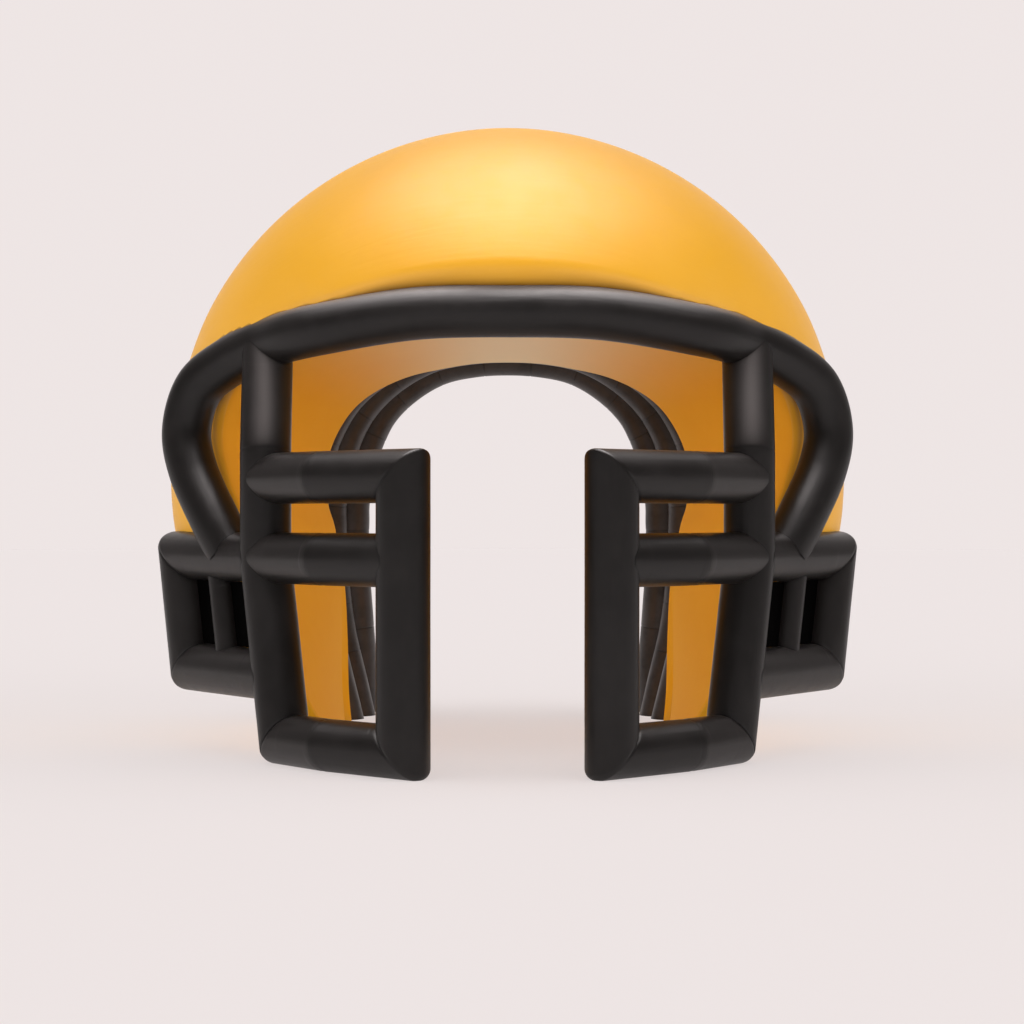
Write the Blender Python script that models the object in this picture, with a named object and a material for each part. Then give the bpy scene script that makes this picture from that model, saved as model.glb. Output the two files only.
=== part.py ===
"""Inflatable helmet tunnel: a blown dome with a brow tube, a face mask in two halves and rear hoops.

Metres, +Z up. The front faces -Y, +X is to the right and the object stands on z = 0.
"""
import math

import bmesh
import bpy
import numpy as np
from mathutils import Vector

# Air tubes
TUBE_RADIUS = 0.145
BRANCH_RADIUS = 0.1435
BAR_RADIUS = 0.085
HOOP_RADIUS = 0.140
TUBE_SIDES = 24
BROW_SIDES = 20
HOOP_SIDES = 16
RUN_PAST = 0.40
STOP_SHORT = 0.030

# Gap kept between pieces that touch
GAP = 0.0003

# Face mask: a front run from the inner post to the bend, then a side run back past the side post
INNER_POST_X = 0.548
INNER_POST_Y = -2.060
FRONT_YAW = math.radians(42)
FRONT_RUN = 0.625
TURN_RUN = 0.597
TURN_LEAN = 0.031
SIDE_YAW = math.radians(54.2)
SIDE_POST_RUN = 0.603
SIDE_POST_LEAN = 0.210
UPPER_Z = 1.590
MIDDLE_Z = 1.145
BOTTOM_Z = 0.138
POST_BEND_Z = 1.745

# Side guard, in the same upright plane as the side run
GUARD_OUTER_RUN = 1.596
GUARD_LOW_Z = 0.485
GUARD_LEAN = 0.220
BAR_RUN = 1.130
BAR_TWIST = 0.06
BROW_END_RUN = 0.965
INFILL_THICKNESS = 0.002
INFILL_CLEAR = 0.0006

# Brow tube: where its centre line runs, from the middle of the front to above the side guard
BROW_POST_RUN = 0.617
BROW_POST_Y = -0.950
BROW_POST_Z = 2.369
BROW_ROWS = (
    # x, y, z
    (0.000, -1.560, 2.500),
    (0.524, -1.510, 2.488),
    (1.065, -1.290, 2.418),
    (1.620, -0.750, 2.275),
    (1.810, -0.640, 2.132),
    (1.888, -0.600, 1.885),
    (1.840, -0.655, 1.640),
    (1.700, -0.780, 1.360),
)
BROW_POST_ROW = 3
BROW_STEPS = 4

# Shell: the middle of its blown edge, by angle about an axis along Y. Its outer skin bulges to the waist
# between the two rims, and its inner skin, the walkway's liner, runs straight from rim to rim
SHELL_AXIS_Z = 1.600
SHELL_WALL = 0.280
WAIST_Y = 0.040
REAR_RIM_Y = 1.2364
SHELL_ROWS = (
    # angle, front reach, front y, waist reach, rear reach
    (90, 1.120, -1.500, 2.005, 0.945),
    (75, 1.145, -1.470, 2.000, 0.965),
    (60, 1.224, -1.380, 1.990, 1.020),
    (45, 1.365, -1.215, 1.976, 1.130),
    (30, 1.622, -0.870, 1.957, 1.255),
    (20, 1.807, -0.540, 1.936, 1.310),
    (10, 1.845, -0.440, 1.930, 1.345),
    (0, 1.770, -0.490, 1.923, 1.355),
    (-8, 1.705, -0.540, 1.922, 1.345),
    (-16, 1.695, -0.460, 1.915, 1.335),
    (-30, 1.790, -0.480, 1.885, 1.414),
    (-42, 1.840, -0.560, 1.885, 1.620),
    (-52, 1.930, -0.610, 1.960, 1.930),
    (-62, 2.080, -0.640, 2.120, 2.330),
)
ARCH_STEPS = 2
WALL_STEPS = 7
LINER_STEPS = 6
LIP_STEPS = 4

# Rear hoops, each touching the one before it. Their reach is from the shell's axis
HOOP_NAMES = ("hoop_near", "hoop_middle", "hoop_far")
HOOP_PITCH = 2 * HOOP_RADIUS + 2 * GAP
HOOP_STEPS = 2
HOOP_ROWS = (
    # angle, near reach, middle reach, far reach
    (90, 0.990, 0.980, 0.908),
    (75, 1.012, 1.000, 0.925),
    (60, 1.072, 1.053, 0.968),
    (45, 1.168, 1.103, 1.003),
    (30, 1.252, 1.155, 1.040),
    (20, 1.290, 1.180, 1.050),
    (10, 1.320, 1.200, 1.065),
    (0, 1.350, 1.232, 1.092),
    (-8, 1.370, 1.266, 1.120),
    (-16, 1.385, 1.302, 1.157),
    (-30, 1.500, 1.420, 1.275),
    (-42, 1.665, 1.590, 1.455),
    (-52, 1.870, 1.787, 1.720),
    (-62, 2.170, 2.090, 2.180),
)

# Cloth colours
YELLOW = (0.85, 0.42, 0.055, 1)
BLACK = (0.022, 0.020, 0.019, 1)


def clear_scene():
    for item in list(bpy.data.objects):
        bpy.data.objects.remove(item)


def cloth(name, colour, roughness):
    material = bpy.data.materials.new(name)
    material.use_nodes = True
    shader = material.node_tree.nodes["Principled BSDF"]
    shader.inputs["Base Color"].default_value = colour
    shader.inputs["Roughness"].default_value = roughness
    shader.inputs["Metallic"].default_value = 0.0
    return material


def smooth_rows(rows, steps):
    """Rows on a smooth curve through the given rows, with steps for each stretch."""
    rows = np.array(rows, dtype=float)
    padded = np.vstack((2 * rows[0] - rows[1], rows, 2 * rows[-1] - rows[-2]))
    out = []
    for before, start, end, after in zip(padded, padded[1:], padded[2:], padded[3:]):
        for t in np.arange(steps) / steps:
            rise = (end - before) * t + (2 * before - 5 * start + 4 * end - after) * t ** 2
            out.append(start + 0.5 * (rise + (3 * start - before - 3 * end + after) * t ** 3))
    out.append(rows[-1])
    return np.array(out)


def loft(rings):
    """A closed solid through rings of points, with a flat cap at each end."""
    solid = bmesh.new()
    rows = [[solid.verts.new(point) for point in ring] for ring in rings]
    for low, high in zip(rows, rows[1:]):
        for k in range(len(low)):
            n = (k + 1) % len(low)
            solid.faces.new((low[k], low[n], high[n], high[k]))
    solid.faces.new(rows[0])
    solid.faces.new(rows[-1])
    bmesh.ops.recalc_face_normals(solid, faces=solid.faces)
    return solid


def tube(points, radius, sides, facing):
    """A round tube along points. A corner of its section points in the facing direction."""
    points = [Vector(point) for point in points]
    rings = []
    for k, point in enumerate(points):
        along = (points[min(k + 1, len(points) - 1)] - points[max(k - 1, 0)]).normalized()
        facing = (facing - along * facing.dot(along)).normalized()
        third = along.cross(facing)
        turns = [2 * math.pi * n / sides for n in range(sides)]
        rings.append([point + radius * (facing * math.cos(a) + third * math.sin(a)) for a in turns])
    return loft(rings)


def trim(solid, point, normal):
    """Cuts off what lies past a plane and closes the cut."""
    geometry = solid.verts[:] + solid.edges[:] + solid.faces[:]
    cut = bmesh.ops.bisect_plane(
        solid, geom=geometry, dist=1e-6, plane_co=point, plane_no=normal, clear_outer=True)
    edges = [item for item in cut["geom_cut"] if isinstance(item, bmesh.types.BMEdge)]
    bmesh.ops.holes_fill(solid, edges=edges, sides=0)


def stand_on_floor(solid):
    trim(solid, Vector((0, 0, 0)), Vector((0, 0, -1)))


def mitre(solid, joint, own, other, past=-GAP / 2):
    """Cuts a tube where it meets its neighbour, past the plane that halves their angle by past metres."""
    normal = ((other - joint).normalized() - (own - joint).normalized()).normalized()
    trim(solid, joint + normal * past, normal)


def place(name, solid, material):
    bmesh.ops.recalc_face_normals(solid, faces=solid.faces)
    mesh = bpy.data.meshes.new(name)
    solid.to_mesh(mesh)
    solid.free()
    mesh.shade_smooth()
    mesh.set_sharp_from_angle(angle=math.radians(35))
    if material is not None:
        mesh.materials.append(material)
    item = bpy.data.objects.new(name, mesh)
    bpy.context.collection.objects.link(item)
    return item


def cutter(name, solid):
    item = place(name, solid, None)
    item.hide_render = True
    item.display_type = "WIRE"
    return item


def carve(item, *tools):
    """Hollows a piece where its neighbours press into it."""
    for tool in tools:
        modifier = item.modifiers.new("Seat for " + tool.name, "BOOLEAN")
        modifier.operation = "DIFFERENCE"
        modifier.solver = "EXACT"
        modifier.object = tool


def carve_all(item, tools):
    """Hollows a piece in one cut where several neighbours press into it."""
    group = bpy.data.collections.new("Seats in " + item.name)
    bpy.context.scene.collection.children.link(group)
    for tool in tools:
        group.objects.link(tool)
    modifier = item.modifiers.new("Seats", "BOOLEAN")
    modifier.operation = "DIFFERENCE"
    modifier.solver = "EXACT"
    modifier.operand_type = "COLLECTION"
    modifier.collection = group


class Mask:
    """The points of one mask half and side guard. side is 1 on the right and -1 on the left."""

    def __init__(self, side):
        self.side = side
        self.front_way = Vector((side * math.cos(FRONT_YAW), math.sin(FRONT_YAW), 0))
        self.side_way = Vector((side * math.cos(SIDE_YAW), math.sin(SIDE_YAW), 0))
        self.front_face = Vector((side * math.sin(FRONT_YAW), -math.cos(FRONT_YAW), 0))
        self.side_face = Vector((side * math.sin(SIDE_YAW), -math.cos(SIDE_YAW), 0))
        self.corner = Vector((side * INNER_POST_X, INNER_POST_Y, 0))
        self.bend = self.corner + FRONT_RUN * self.front_way

    def inner(self, z):
        return self.corner + Vector((0, 0, z))

    def turn(self, z):
        """Where a cross tube turns back, nearer the walkway for a lower tube."""
        run = TURN_RUN - TURN_LEAN * (MIDDLE_Z - z)
        return self.corner + run * self.front_way + Vector((0, 0, z))

    def back(self, run, z):
        return self.bend + run * self.side_way + Vector((0, 0, z))

    def post(self, z):
        """The side post's centre line, which leans towards the walkway below the middle tube."""
        return self.back(SIDE_POST_RUN - SIDE_POST_LEAN * max(0, MIDDLE_Z - z), z)

    def guard(self, run, z):
        """A point of the side guard, whose uprights lean as the side post does."""
        return self.back(run - GUARD_LEAN * (MIDDLE_Z - z), z)

    def brow_end(self):
        """Where the brow tube stops, a little short of the guard's top tube's centre line."""
        last = Vector(BROW_ROWS[-1])
        return short_of(Vector((self.side * last.x, last.y, last.z)), self.back(BROW_END_RUN, MIDDLE_Z))

    def brow_post(self):
        top = self.back(BROW_POST_RUN, BROW_POST_Z)
        return Vector((top.x, BROW_POST_Y, BROW_POST_Z))


def brow_line(right):
    """Centre line of the brow tube, from the left guard over the front to the right guard."""
    half = [Vector(row) for row in BROW_ROWS]
    half.insert(BROW_POST_ROW, right.brow_post())
    half.append(right.brow_end())
    mirrored = [Vector((-point.x, point.y, point.z)) for point in half[:0:-1]]
    return smooth_rows(mirrored + half, BROW_STEPS)


def brow_solid(right, radius):
    return tube(brow_line(right), radius, BROW_SIDES, Vector((0, 0, 1)))


def straight(start, end, radius, facing):
    return tube((start, end), radius, TUBE_SIDES, facing)


def beyond(start, end):
    """A point past end, so that a cut at end leaves a full section."""
    return end + (end - start).normalized() * RUN_PAST


def short_of(start, end):
    """A point a little before end, so that a saddle cut round end leaves no loose tips."""
    return end - (end - start).normalized() * STOP_SHORT


def side_post_solid(mask, radius):
    """The side post from the brow to past the floor, bent above the upper tube and at the middle tube."""
    foot = mask.post(BOTTOM_Z)
    kink = mask.post(MIDDLE_Z)
    shoulder = mask.post(POST_BEND_Z)
    points = (short_of(shoulder, mask.brow_post()), shoulder, kink, beyond(kink, foot))
    return tube(points, radius, TUBE_SIDES, mask.side_face)


def inner_post_solid(mask, radius):
    points = (mask.inner(UPPER_Z + RUN_PAST), mask.inner(BOTTOM_Z - RUN_PAST))
    return straight(*points, radius, mask.front_face)


def guard_solid(mask, grow, before, start, end, after):
    """A guard tube, cut at its corners and swollen by grow. With nothing before, it stops at the post."""
    first = beyond(end, start) if before else short_of(end, start)
    solid = straight(first, beyond(start, end), BRANCH_RADIUS + grow, mask.side_face)
    mitre(solid, end, start, after, grow - GAP / 2)
    if before:
        mitre(solid, start, end, before, grow - GAP / 2)
    return solid


def make_inner_post(mask, tag, material):
    solid = inner_post_solid(mask, TUBE_RADIUS)
    top = mask.inner(UPPER_Z)
    foot = mask.inner(BOTTOM_Z)
    mitre(solid, top, foot, mask.turn(UPPER_Z))
    mitre(solid, foot, top, mask.turn(BOTTOM_Z))
    stand_on_floor(solid)
    place("inner_post_" + tag, solid, material)
    return cutter("inner_post_seat_" + tag, inner_post_solid(mask, TUBE_RADIUS + GAP))


def make_side_post(mask, tag, material, brow_seat):
    solid = side_post_solid(mask, TUBE_RADIUS)
    foot = mask.post(BOTTOM_Z)
    mitre(solid, foot, mask.post(MIDDLE_Z), mask.turn(BOTTOM_Z))
    stand_on_floor(solid)
    carve(place("side_post_" + tag, solid, material), brow_seat)
    return cutter("side_post_seat_" + tag, side_post_solid(mask, TUBE_RADIUS + GAP))


def make_cross_tubes(mask, tag, material, inner_seat, side_seat):
    """The upper, middle and bottom tubes, each in a front and a side length."""
    levels = (("upper", UPPER_Z), ("middle", MIDDLE_Z), ("bottom", BOTTOM_Z))
    for level, z in levels:
        inner = mask.inner(z)
        bend = mask.turn(z)
        post = mask.post(z)
        mitred = level != "middle"
        start = beyond(bend, inner) if mitred else short_of(bend, inner)
        front = straight(start, beyond(inner, bend), BRANCH_RADIUS, mask.front_face)
        mitre(front, bend, inner, post)
        if mitred:
            other = BOTTOM_Z if level == "upper" else UPPER_Z
            mitre(front, inner, bend, mask.inner(other))
        end = beyond(bend, post) if level == "bottom" else short_of(bend, post)
        side = straight(beyond(post, bend), end, BRANCH_RADIUS, mask.side_face)
        mitre(side, bend, post, inner)
        if level == "bottom":
            mitre(side, post, bend, mask.post(MIDDLE_Z))
            stand_on_floor(front)
            stand_on_floor(side)
        front_item = place(level + "_front_" + tag, front, material)
        side_item = place(level + "_side_" + tag, side, material)
        if level == "middle":
            carve(front_item, inner_seat)
        if level != "bottom":
            carve(side_item, side_seat)


def make_guard(mask, tag, material, side_seat):
    top_start = mask.back(SIDE_POST_RUN, MIDDLE_Z)
    top_end = mask.guard(GUARD_OUTER_RUN, MIDDLE_Z)
    low_end = mask.guard(GUARD_OUTER_RUN, GUARD_LOW_Z)
    low_start = mask.post(GUARD_LOW_Z)
    paths = {
        "guard_top": (None, top_start, top_end, low_end),
        "guard_outer": (top_start, top_end, low_end, low_start),
        "guard_low": (None, low_start, low_end, top_end),
    }
    seats = {}
    for name, path in paths.items():
        item = place(name + "_" + tag, guard_solid(mask, 0, *path), material)
        seats[name] = cutter(name + "_seat_" + tag, guard_solid(mask, GAP, *path))
        if name != "guard_outer":
            carve(item, side_seat)
    bar_top = mask.guard(BAR_RUN, MIDDLE_Z)
    bar_low = mask.guard(BAR_RUN, GUARD_LOW_Z)
    bar = straight(bar_top, bar_low, BAR_RADIUS, mask.side_face + BAR_TWIST * mask.side_way)
    carve(place("guard_bar_" + tag, bar, material), seats["guard_top"], seats["guard_low"])
    return seats["guard_top"], seats["guard_outer"]


def make_infill(mask, name, near_edge, far_edge, material):
    """A flat cloth panel in a guard window. Each edge gives a run for a height."""
    top = MIDDLE_Z - BRANCH_RADIUS - INFILL_CLEAR
    low = GUARD_LOW_Z + BRANCH_RADIUS + INFILL_CLEAR
    outline = (
        mask.back(near_edge(top), top),
        mask.back(far_edge(top), top),
        mask.back(far_edge(low), low),
        mask.back(near_edge(low), low),
    )
    half = mask.side_face * INFILL_THICKNESS / 2
    place(name, loft([[point - half for point in outline], [point + half for point in outline]]), material)


def make_infills(mask, tag, material):
    def beside(run, lean, radius):
        spread = (radius + INFILL_CLEAR) * math.hypot(1, lean)
        return lambda z: run - lean * (MIDDLE_Z - z) + spread

    post_edge = beside(SIDE_POST_RUN, SIDE_POST_LEAN, TUBE_RADIUS)
    bar_near = beside(BAR_RUN, GUARD_LEAN, -BAR_RADIUS - 2 * INFILL_CLEAR)
    bar_far = beside(BAR_RUN, GUARD_LEAN, BAR_RADIUS)
    outer_edge = beside(GUARD_OUTER_RUN, GUARD_LEAN, -BRANCH_RADIUS - 2 * INFILL_CLEAR)
    make_infill(mask, "infill_front_" + tag, post_edge, bar_near, material)
    make_infill(mask, "infill_back_" + tag, bar_far, outer_edge, material)


def whole_arch(rows, steps):
    """Rows from the right foot over the top to the left foot, which mirrors the right."""
    right = [np.array(row, dtype=float) for row in rows]
    left = [np.array((180 - row[0], *row[1:])) for row in right[1:]]
    return smooth_rows(right[::-1] + left, steps)


def across(angle):
    return np.array((math.cos(math.radians(angle)), 0, math.sin(math.radians(angle))))


def wall_line(angle, front, front_y, waist, rear):
    """The middle of the wall from the front rim to the rear rim, at one angle."""
    points = []
    for k in range(-WALL_STEPS, WALL_STEPS + 1):
        rim, rim_y = (front, front_y) if k < 0 else (rear, REAR_RIM_Y)
        full = math.acos(min(1, rim / waist)) if rim < waist else 0
        turn = abs(k) / WALL_STEPS
        share = math.sin(full * turn) / math.sin(full) if full > 0 else turn
        reach = waist * math.cos(full * turn) if full > 0 else waist + (rim - waist) * turn ** 2
        points.append(across(angle) * reach + (0, WAIST_Y + (rim_y - WAIST_Y) * share, SHELL_AXIS_Z))
    return np.array(points)


def rim_points(centre, outer_way, rim_way, inner_way):
    """Points round a rim, from the outer skin to the inner skin by way of rim_way."""
    turn = math.atan2(inner_way @ rim_way, inner_way @ outer_way) % (2 * math.pi)
    angles = [turn * k / LIP_STEPS for k in range(1, LIP_STEPS)]
    return [centre + SHELL_WALL / 2 * (outer_way * math.cos(a) + rim_way * math.sin(a)) for a in angles]


def shell_ring(angle, line, normals, ways):
    """The section of the blown dome at one angle: outer skin, rear rim, liner and front rim."""
    front, rear = line[0], line[-1]
    chord = (rear - front) / np.linalg.norm(rear - front)
    inner_way = chord * (across(angle) @ chord) - across(angle)
    inner_way /= np.linalg.norm(inner_way)
    rear_way = ways[-1] / np.linalg.norm(ways[-1])
    front_way = -ways[0] / np.linalg.norm(ways[0])
    ring = list(line + SHELL_WALL / 2 * normals)
    ring += rim_points(rear, normals[-1], rear_way, inner_way)
    liner = [rear + (front - rear) * k / LINER_STEPS for k in range(LINER_STEPS + 1)]
    ring += [point + SHELL_WALL / 2 * inner_way for point in liner]
    ring += reversed(rim_points(front, normals[0], front_way, inner_way))
    return [Vector(point) for point in ring]


def make_shell(material, seats):
    """The blown dome, closed at both rims, with the seats of the tubes that press into it."""
    rows = whole_arch(SHELL_ROWS, ARCH_STEPS)
    middle = np.array([wall_line(*row) for row in rows])
    around = np.gradient(middle, axis=0)
    back = np.gradient(middle, axis=1)
    outward = np.cross(back, around)
    outward /= np.linalg.norm(outward, axis=2)[:, :, None]
    hub = np.array((0, WAIST_Y, SHELL_AXIS_Z))
    if (outward[len(middle) // 2, WALL_STEPS] * (middle[len(middle) // 2, WALL_STEPS] - hub)).sum() < 0:
        outward = -outward
    solid = loft([shell_ring(row[0], *line) for row, *line in zip(rows, middle, outward, back)])
    stand_on_floor(solid)
    carve_all(place("shell", solid, material), seats)
    return middle[:, -1]


def nested(line, before):
    """Moves a hoop's flat centre line back until it touches the line before it."""
    out = []
    for point in line:
        starts = before[:-1]
        ways = before[1:] - starts
        flat = (point - starts)[:, (0, 2)]
        shares = (flat * ways[:, (0, 2)]).sum(axis=1) / (ways[:, (0, 2)] ** 2).sum(axis=1)
        nearest = starts + ways * np.clip(shares, 0, 1)[:, None]
        gaps = np.linalg.norm((point - nearest)[:, (0, 2)], axis=1)
        backs = nearest[:, 1] + np.sqrt(np.maximum(0, HOOP_PITCH ** 2 - gaps ** 2))
        out.append((point[0], backs.max(), point[2]))
    return np.array(out)


def make_hoops(rim, material):
    rows = whole_arch(HOOP_ROWS, HOOP_STEPS)
    line = rim
    for k, name in enumerate(HOOP_NAMES, start=1):
        flat = np.array([across(row[0]) * row[k] + (0, 0, SHELL_AXIS_Z) for row in rows])
        line = nested(flat, line)
        solid = tube(line, HOOP_RADIUS, HOOP_SIDES, Vector((0, 1, 0)))
        stand_on_floor(solid)
        place(name, solid, material)


def main():
    clear_scene()
    mask_cloth = cloth("mask tube cloth", BLACK, 0.42)
    guard_cloth = cloth("guard tube cloth", BLACK, 0.42)
    infill_cloth = cloth("infill cloth", BLACK, 0.60)
    right = Mask(1)
    brow = place("brow_tube", brow_solid(right, TUBE_RADIUS), cloth("brow tube cloth", BLACK, 0.42))
    brow_seat = cutter("brow_tube_seat", brow_solid(right, TUBE_RADIUS + GAP))
    seats = [brow_seat]
    for tag, mask in (("right", right), ("left", Mask(-1))):
        inner_seat = make_inner_post(mask, tag, mask_cloth)
        side_seat = make_side_post(mask, tag, mask_cloth, brow_seat)
        make_cross_tubes(mask, tag, mask_cloth, inner_seat, side_seat)
        top_seat, outer_seat = make_guard(mask, tag, guard_cloth, side_seat)
        make_infills(mask, tag, infill_cloth)
        carve(brow, top_seat)
        seats += [top_seat, outer_seat]
    rim = make_shell(cloth("shell cloth", YELLOW, 0.45), seats)
    make_hoops(rim, cloth("hoop cloth", BLACK, 0.42))


main()
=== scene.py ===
"""Inflatable helmet tunnel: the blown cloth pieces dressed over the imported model, on a pale stage."""
import math

import bmesh
import bpy
import numpy as np
from bpy.props import FloatProperty, FloatVectorProperty, PointerProperty
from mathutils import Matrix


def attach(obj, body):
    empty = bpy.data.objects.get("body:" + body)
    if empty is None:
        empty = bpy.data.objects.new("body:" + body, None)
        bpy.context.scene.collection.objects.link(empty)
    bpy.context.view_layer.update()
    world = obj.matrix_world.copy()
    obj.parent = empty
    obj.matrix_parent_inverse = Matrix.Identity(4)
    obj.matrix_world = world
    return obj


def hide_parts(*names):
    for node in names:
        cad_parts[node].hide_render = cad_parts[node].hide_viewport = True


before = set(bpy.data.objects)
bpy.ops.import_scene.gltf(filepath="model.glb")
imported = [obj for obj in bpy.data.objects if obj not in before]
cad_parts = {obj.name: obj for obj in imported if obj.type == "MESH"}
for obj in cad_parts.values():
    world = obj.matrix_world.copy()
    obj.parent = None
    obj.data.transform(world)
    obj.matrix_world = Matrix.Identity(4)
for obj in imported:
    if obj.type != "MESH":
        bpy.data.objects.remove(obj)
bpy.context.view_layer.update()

bl_info = {
    "name": "Inflatable helmet tunnel",
    "version": (1, 0, 0),
    "blender": (4, 5, 0),
    "location": "3D View > Sidebar > Helmet tunnel",
    "description": "Builds the cloth pieces of a blown helmet-shaped tunnel",
    "category": "Object",
}

SIDES = (("left", -1), ("right", 1))

# Gap kept between pieces that touch, and how far a saddle stops before its neighbour's centre line
GAP = 0.0003
STOP_SHORT = 0.030
RUN_PAST = 0.40

# Face mask and side guard layout
INNER_POST_X = 0.548
INNER_POST_Y = -2.060
FRONT_YAW = math.radians(42)
FRONT_RUN = 0.625
TURN_RUN = 0.597
TURN_LEAN = 0.031
SIDE_YAW = math.radians(54.2)
SIDE_POST_RUN = 0.603
SIDE_POST_LEAN = 0.210
UPPER_Z = 1.590
MIDDLE_Z = 1.145
BOTTOM_Z = 0.138
POST_BEND_Z = 1.745
GUARD_OUTER_RUN = 1.596
GUARD_LOW_Z = 0.485
GUARD_LEAN = 0.220
BAR_RUN = 1.130
BROW_END_RUN = 0.965
INFILL_CLEAR = 0.0006

# Brow tube: points of its centre line on the right half
BROW_POST_RUN = 0.617
BROW_POST_Y = -0.950
BROW_POST_Z = 2.369
BROW_POST_ROW = 3
BROW_ROWS = (
    (0.000, -1.560, 2.500),
    (0.524, -1.510, 2.488),
    (1.065, -1.290, 2.418),
    (1.620, -0.750, 2.275),
    (1.810, -0.640, 2.132),
    (1.888, -0.600, 1.885),
    (1.840, -0.655, 1.640),
    (1.700, -0.780, 1.360),
)

# Dome: the middle of its wall by angle about an axis along Y
SHELL_AXIS_Z = 1.600
WAIST_Y = 0.040
REAR_RIM_Y = 1.2364
SHELL_ROWS = (
    # angle, front reach, front y, waist reach, rear reach
    (90, 1.120, -1.500, 2.005, 0.945),
    (75, 1.145, -1.470, 2.000, 0.965),
    (60, 1.224, -1.380, 1.990, 1.020),
    (45, 1.365, -1.215, 1.976, 1.130),
    (30, 1.622, -0.870, 1.957, 1.255),
    (20, 1.807, -0.540, 1.936, 1.310),
    (10, 1.845, -0.440, 1.930, 1.345),
    (0, 1.770, -0.490, 1.923, 1.355),
    (-8, 1.705, -0.540, 1.922, 1.345),
    (-16, 1.695, -0.460, 1.915, 1.335),
    (-30, 1.790, -0.480, 1.885, 1.414),
    (-42, 1.840, -0.560, 1.885, 1.620),
    (-52, 1.930, -0.610, 1.960, 1.930),
    (-62, 2.080, -0.640, 2.120, 2.330),
)

# Rear hoops: reach of each centre line by the same angle
HOOP_NAMES = ("hoop_near", "hoop_middle", "hoop_far")
HOOP_ROWS = (
    # angle, near reach, middle reach, far reach
    (90, 0.990, 0.980, 0.908),
    (75, 1.012, 1.000, 0.925),
    (60, 1.072, 1.053, 0.968),
    (45, 1.168, 1.103, 1.003),
    (30, 1.252, 1.155, 1.040),
    (20, 1.290, 1.180, 1.050),
    (10, 1.320, 1.200, 1.065),
    (0, 1.350, 1.232, 1.092),
    (-8, 1.370, 1.266, 1.120),
    (-16, 1.385, 1.302, 1.157),
    (-30, 1.500, 1.420, 1.275),
    (-42, 1.665, 1.590, 1.455),
    (-52, 1.870, 1.787, 1.720),
    (-62, 2.170, 2.090, 2.180),
)

# Where the ceiling light starts in reflections, as the upward part of a direction, and the bright rear of the
# room, as the rearward part
TOP_FADE_FROM = 0.70
REAR_FADE = (0.45, 0.95)

# Liner: how far a face turns in, how far it may face along Y, and the angles where its painted glow changes into a
# painted reflection towards the crown
LINER_FACING = (0.1, 0.3)
LINER_ALONG = (-0.5, -0.34)
LINER_ANGLES = (20, 88)

# Lines along a tube are followed this far past a joint, and past the turn of a cross tube
PAST_JOINT = 0.3
PAST_TURN = 0.2

# Blown cloth: its unevenness, and the depth, width and painted shade of a weld ring with the mesh rows beside it
UNEVEN_DEPTH = 0.0006
RING_DEPTH = 0.0022
RING_WIDTH = 0.0045
RING_SHADE = 0.7
RING_SHADE_WIDTH = 0.006
RING_CLEAR = 0.018
RING_ROWS = (-0.014, -0.009, -0.006, -0.003, 0, 0.003, 0.006, 0.009, 0.014)
RING_FREE_FOOT = 0.65

# How far the painted shade, the tuck and the puckers of a welded corner reach along the tube
SEAM_REACH = 0.010
TUCK_REACH = 0.012
PUCKER_REACH = 0.05

# Share of painted sheen on each kind of tube, a lighter colour with a lower roughness, and the painted highlight
# strip on a side post's upper end
POST_TOP_SHEEN = 0.5
GUARD_SHEEN = 0.8
BAR_SHEEN = 0.6
HOOP_SHEEN = 0.5
PAINTED_HIGHLIGHT = 0.75
HIGHLIGHT_SPREAD = 0.088
HIGHLIGHT_FADE = 0.05

# Cloth finish: the painted shade colours beside the tubes on the dome and at the tubes' seams, then weave and crease
# depths
DOME_PAINTED_SHADE = (0.06, 0.018, 0.001, 1)
TUBE_PAINTED_SHADE = (0.003, 0.0026, 0.0024, 1)
WEAVE_DEPTH = 0.00006
INFILL_WEAVE_DEPTH = 0.00012
TUBE_CREASE = 0.0016
FLAT_CREASE = 0.0012

# Camera: place, lens in mm on a 36 mm sensor, and shift in pixels of the frame
CAMERA_PLACE = (0, -14.06, 1.385)
CAMERA_LENS = 80.4
CAMERA_SHIFT = (4.5, 3)
FRAME_PIXELS = 1024
FLOOR_RADIUS = 80

# Mesh density
SHELL_ARCH_STEPS = 9
SHELL_WALL_STEPS = 34
LINER_STEPS = 36
LIP_STEPS = 12
HOOP_ARCH_STEPS = 10
TUBE_SIDES = 96
HOOP_SIDES = 72
ROW_STEP = 0.014
ZONE_ROWS = 22
ZONE_CLEAR = 0.02
CAP_SHARES = (0.7, 0.35)
SEAT_SIDES = 48
BAR_SIDES = 72
BROW_STEPS = 28
BROW_SEAT_STEPS = 10
POST_STEP = 0.02
INFILL_ROWS = 60
INFILL_COLS = 44


def length(name, value, text):
    return FloatProperty(name=name, description=text, default=value, min=0, unit="LENGTH")


def tint(name, value, text):
    return FloatVectorProperty(name=name, description=text, default=value, min=0, max=1, size=3, subtype="COLOR")


def share(name, value, text):
    return FloatProperty(name=name, description=text, default=value, min=0, max=1, subtype="FACTOR")


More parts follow.
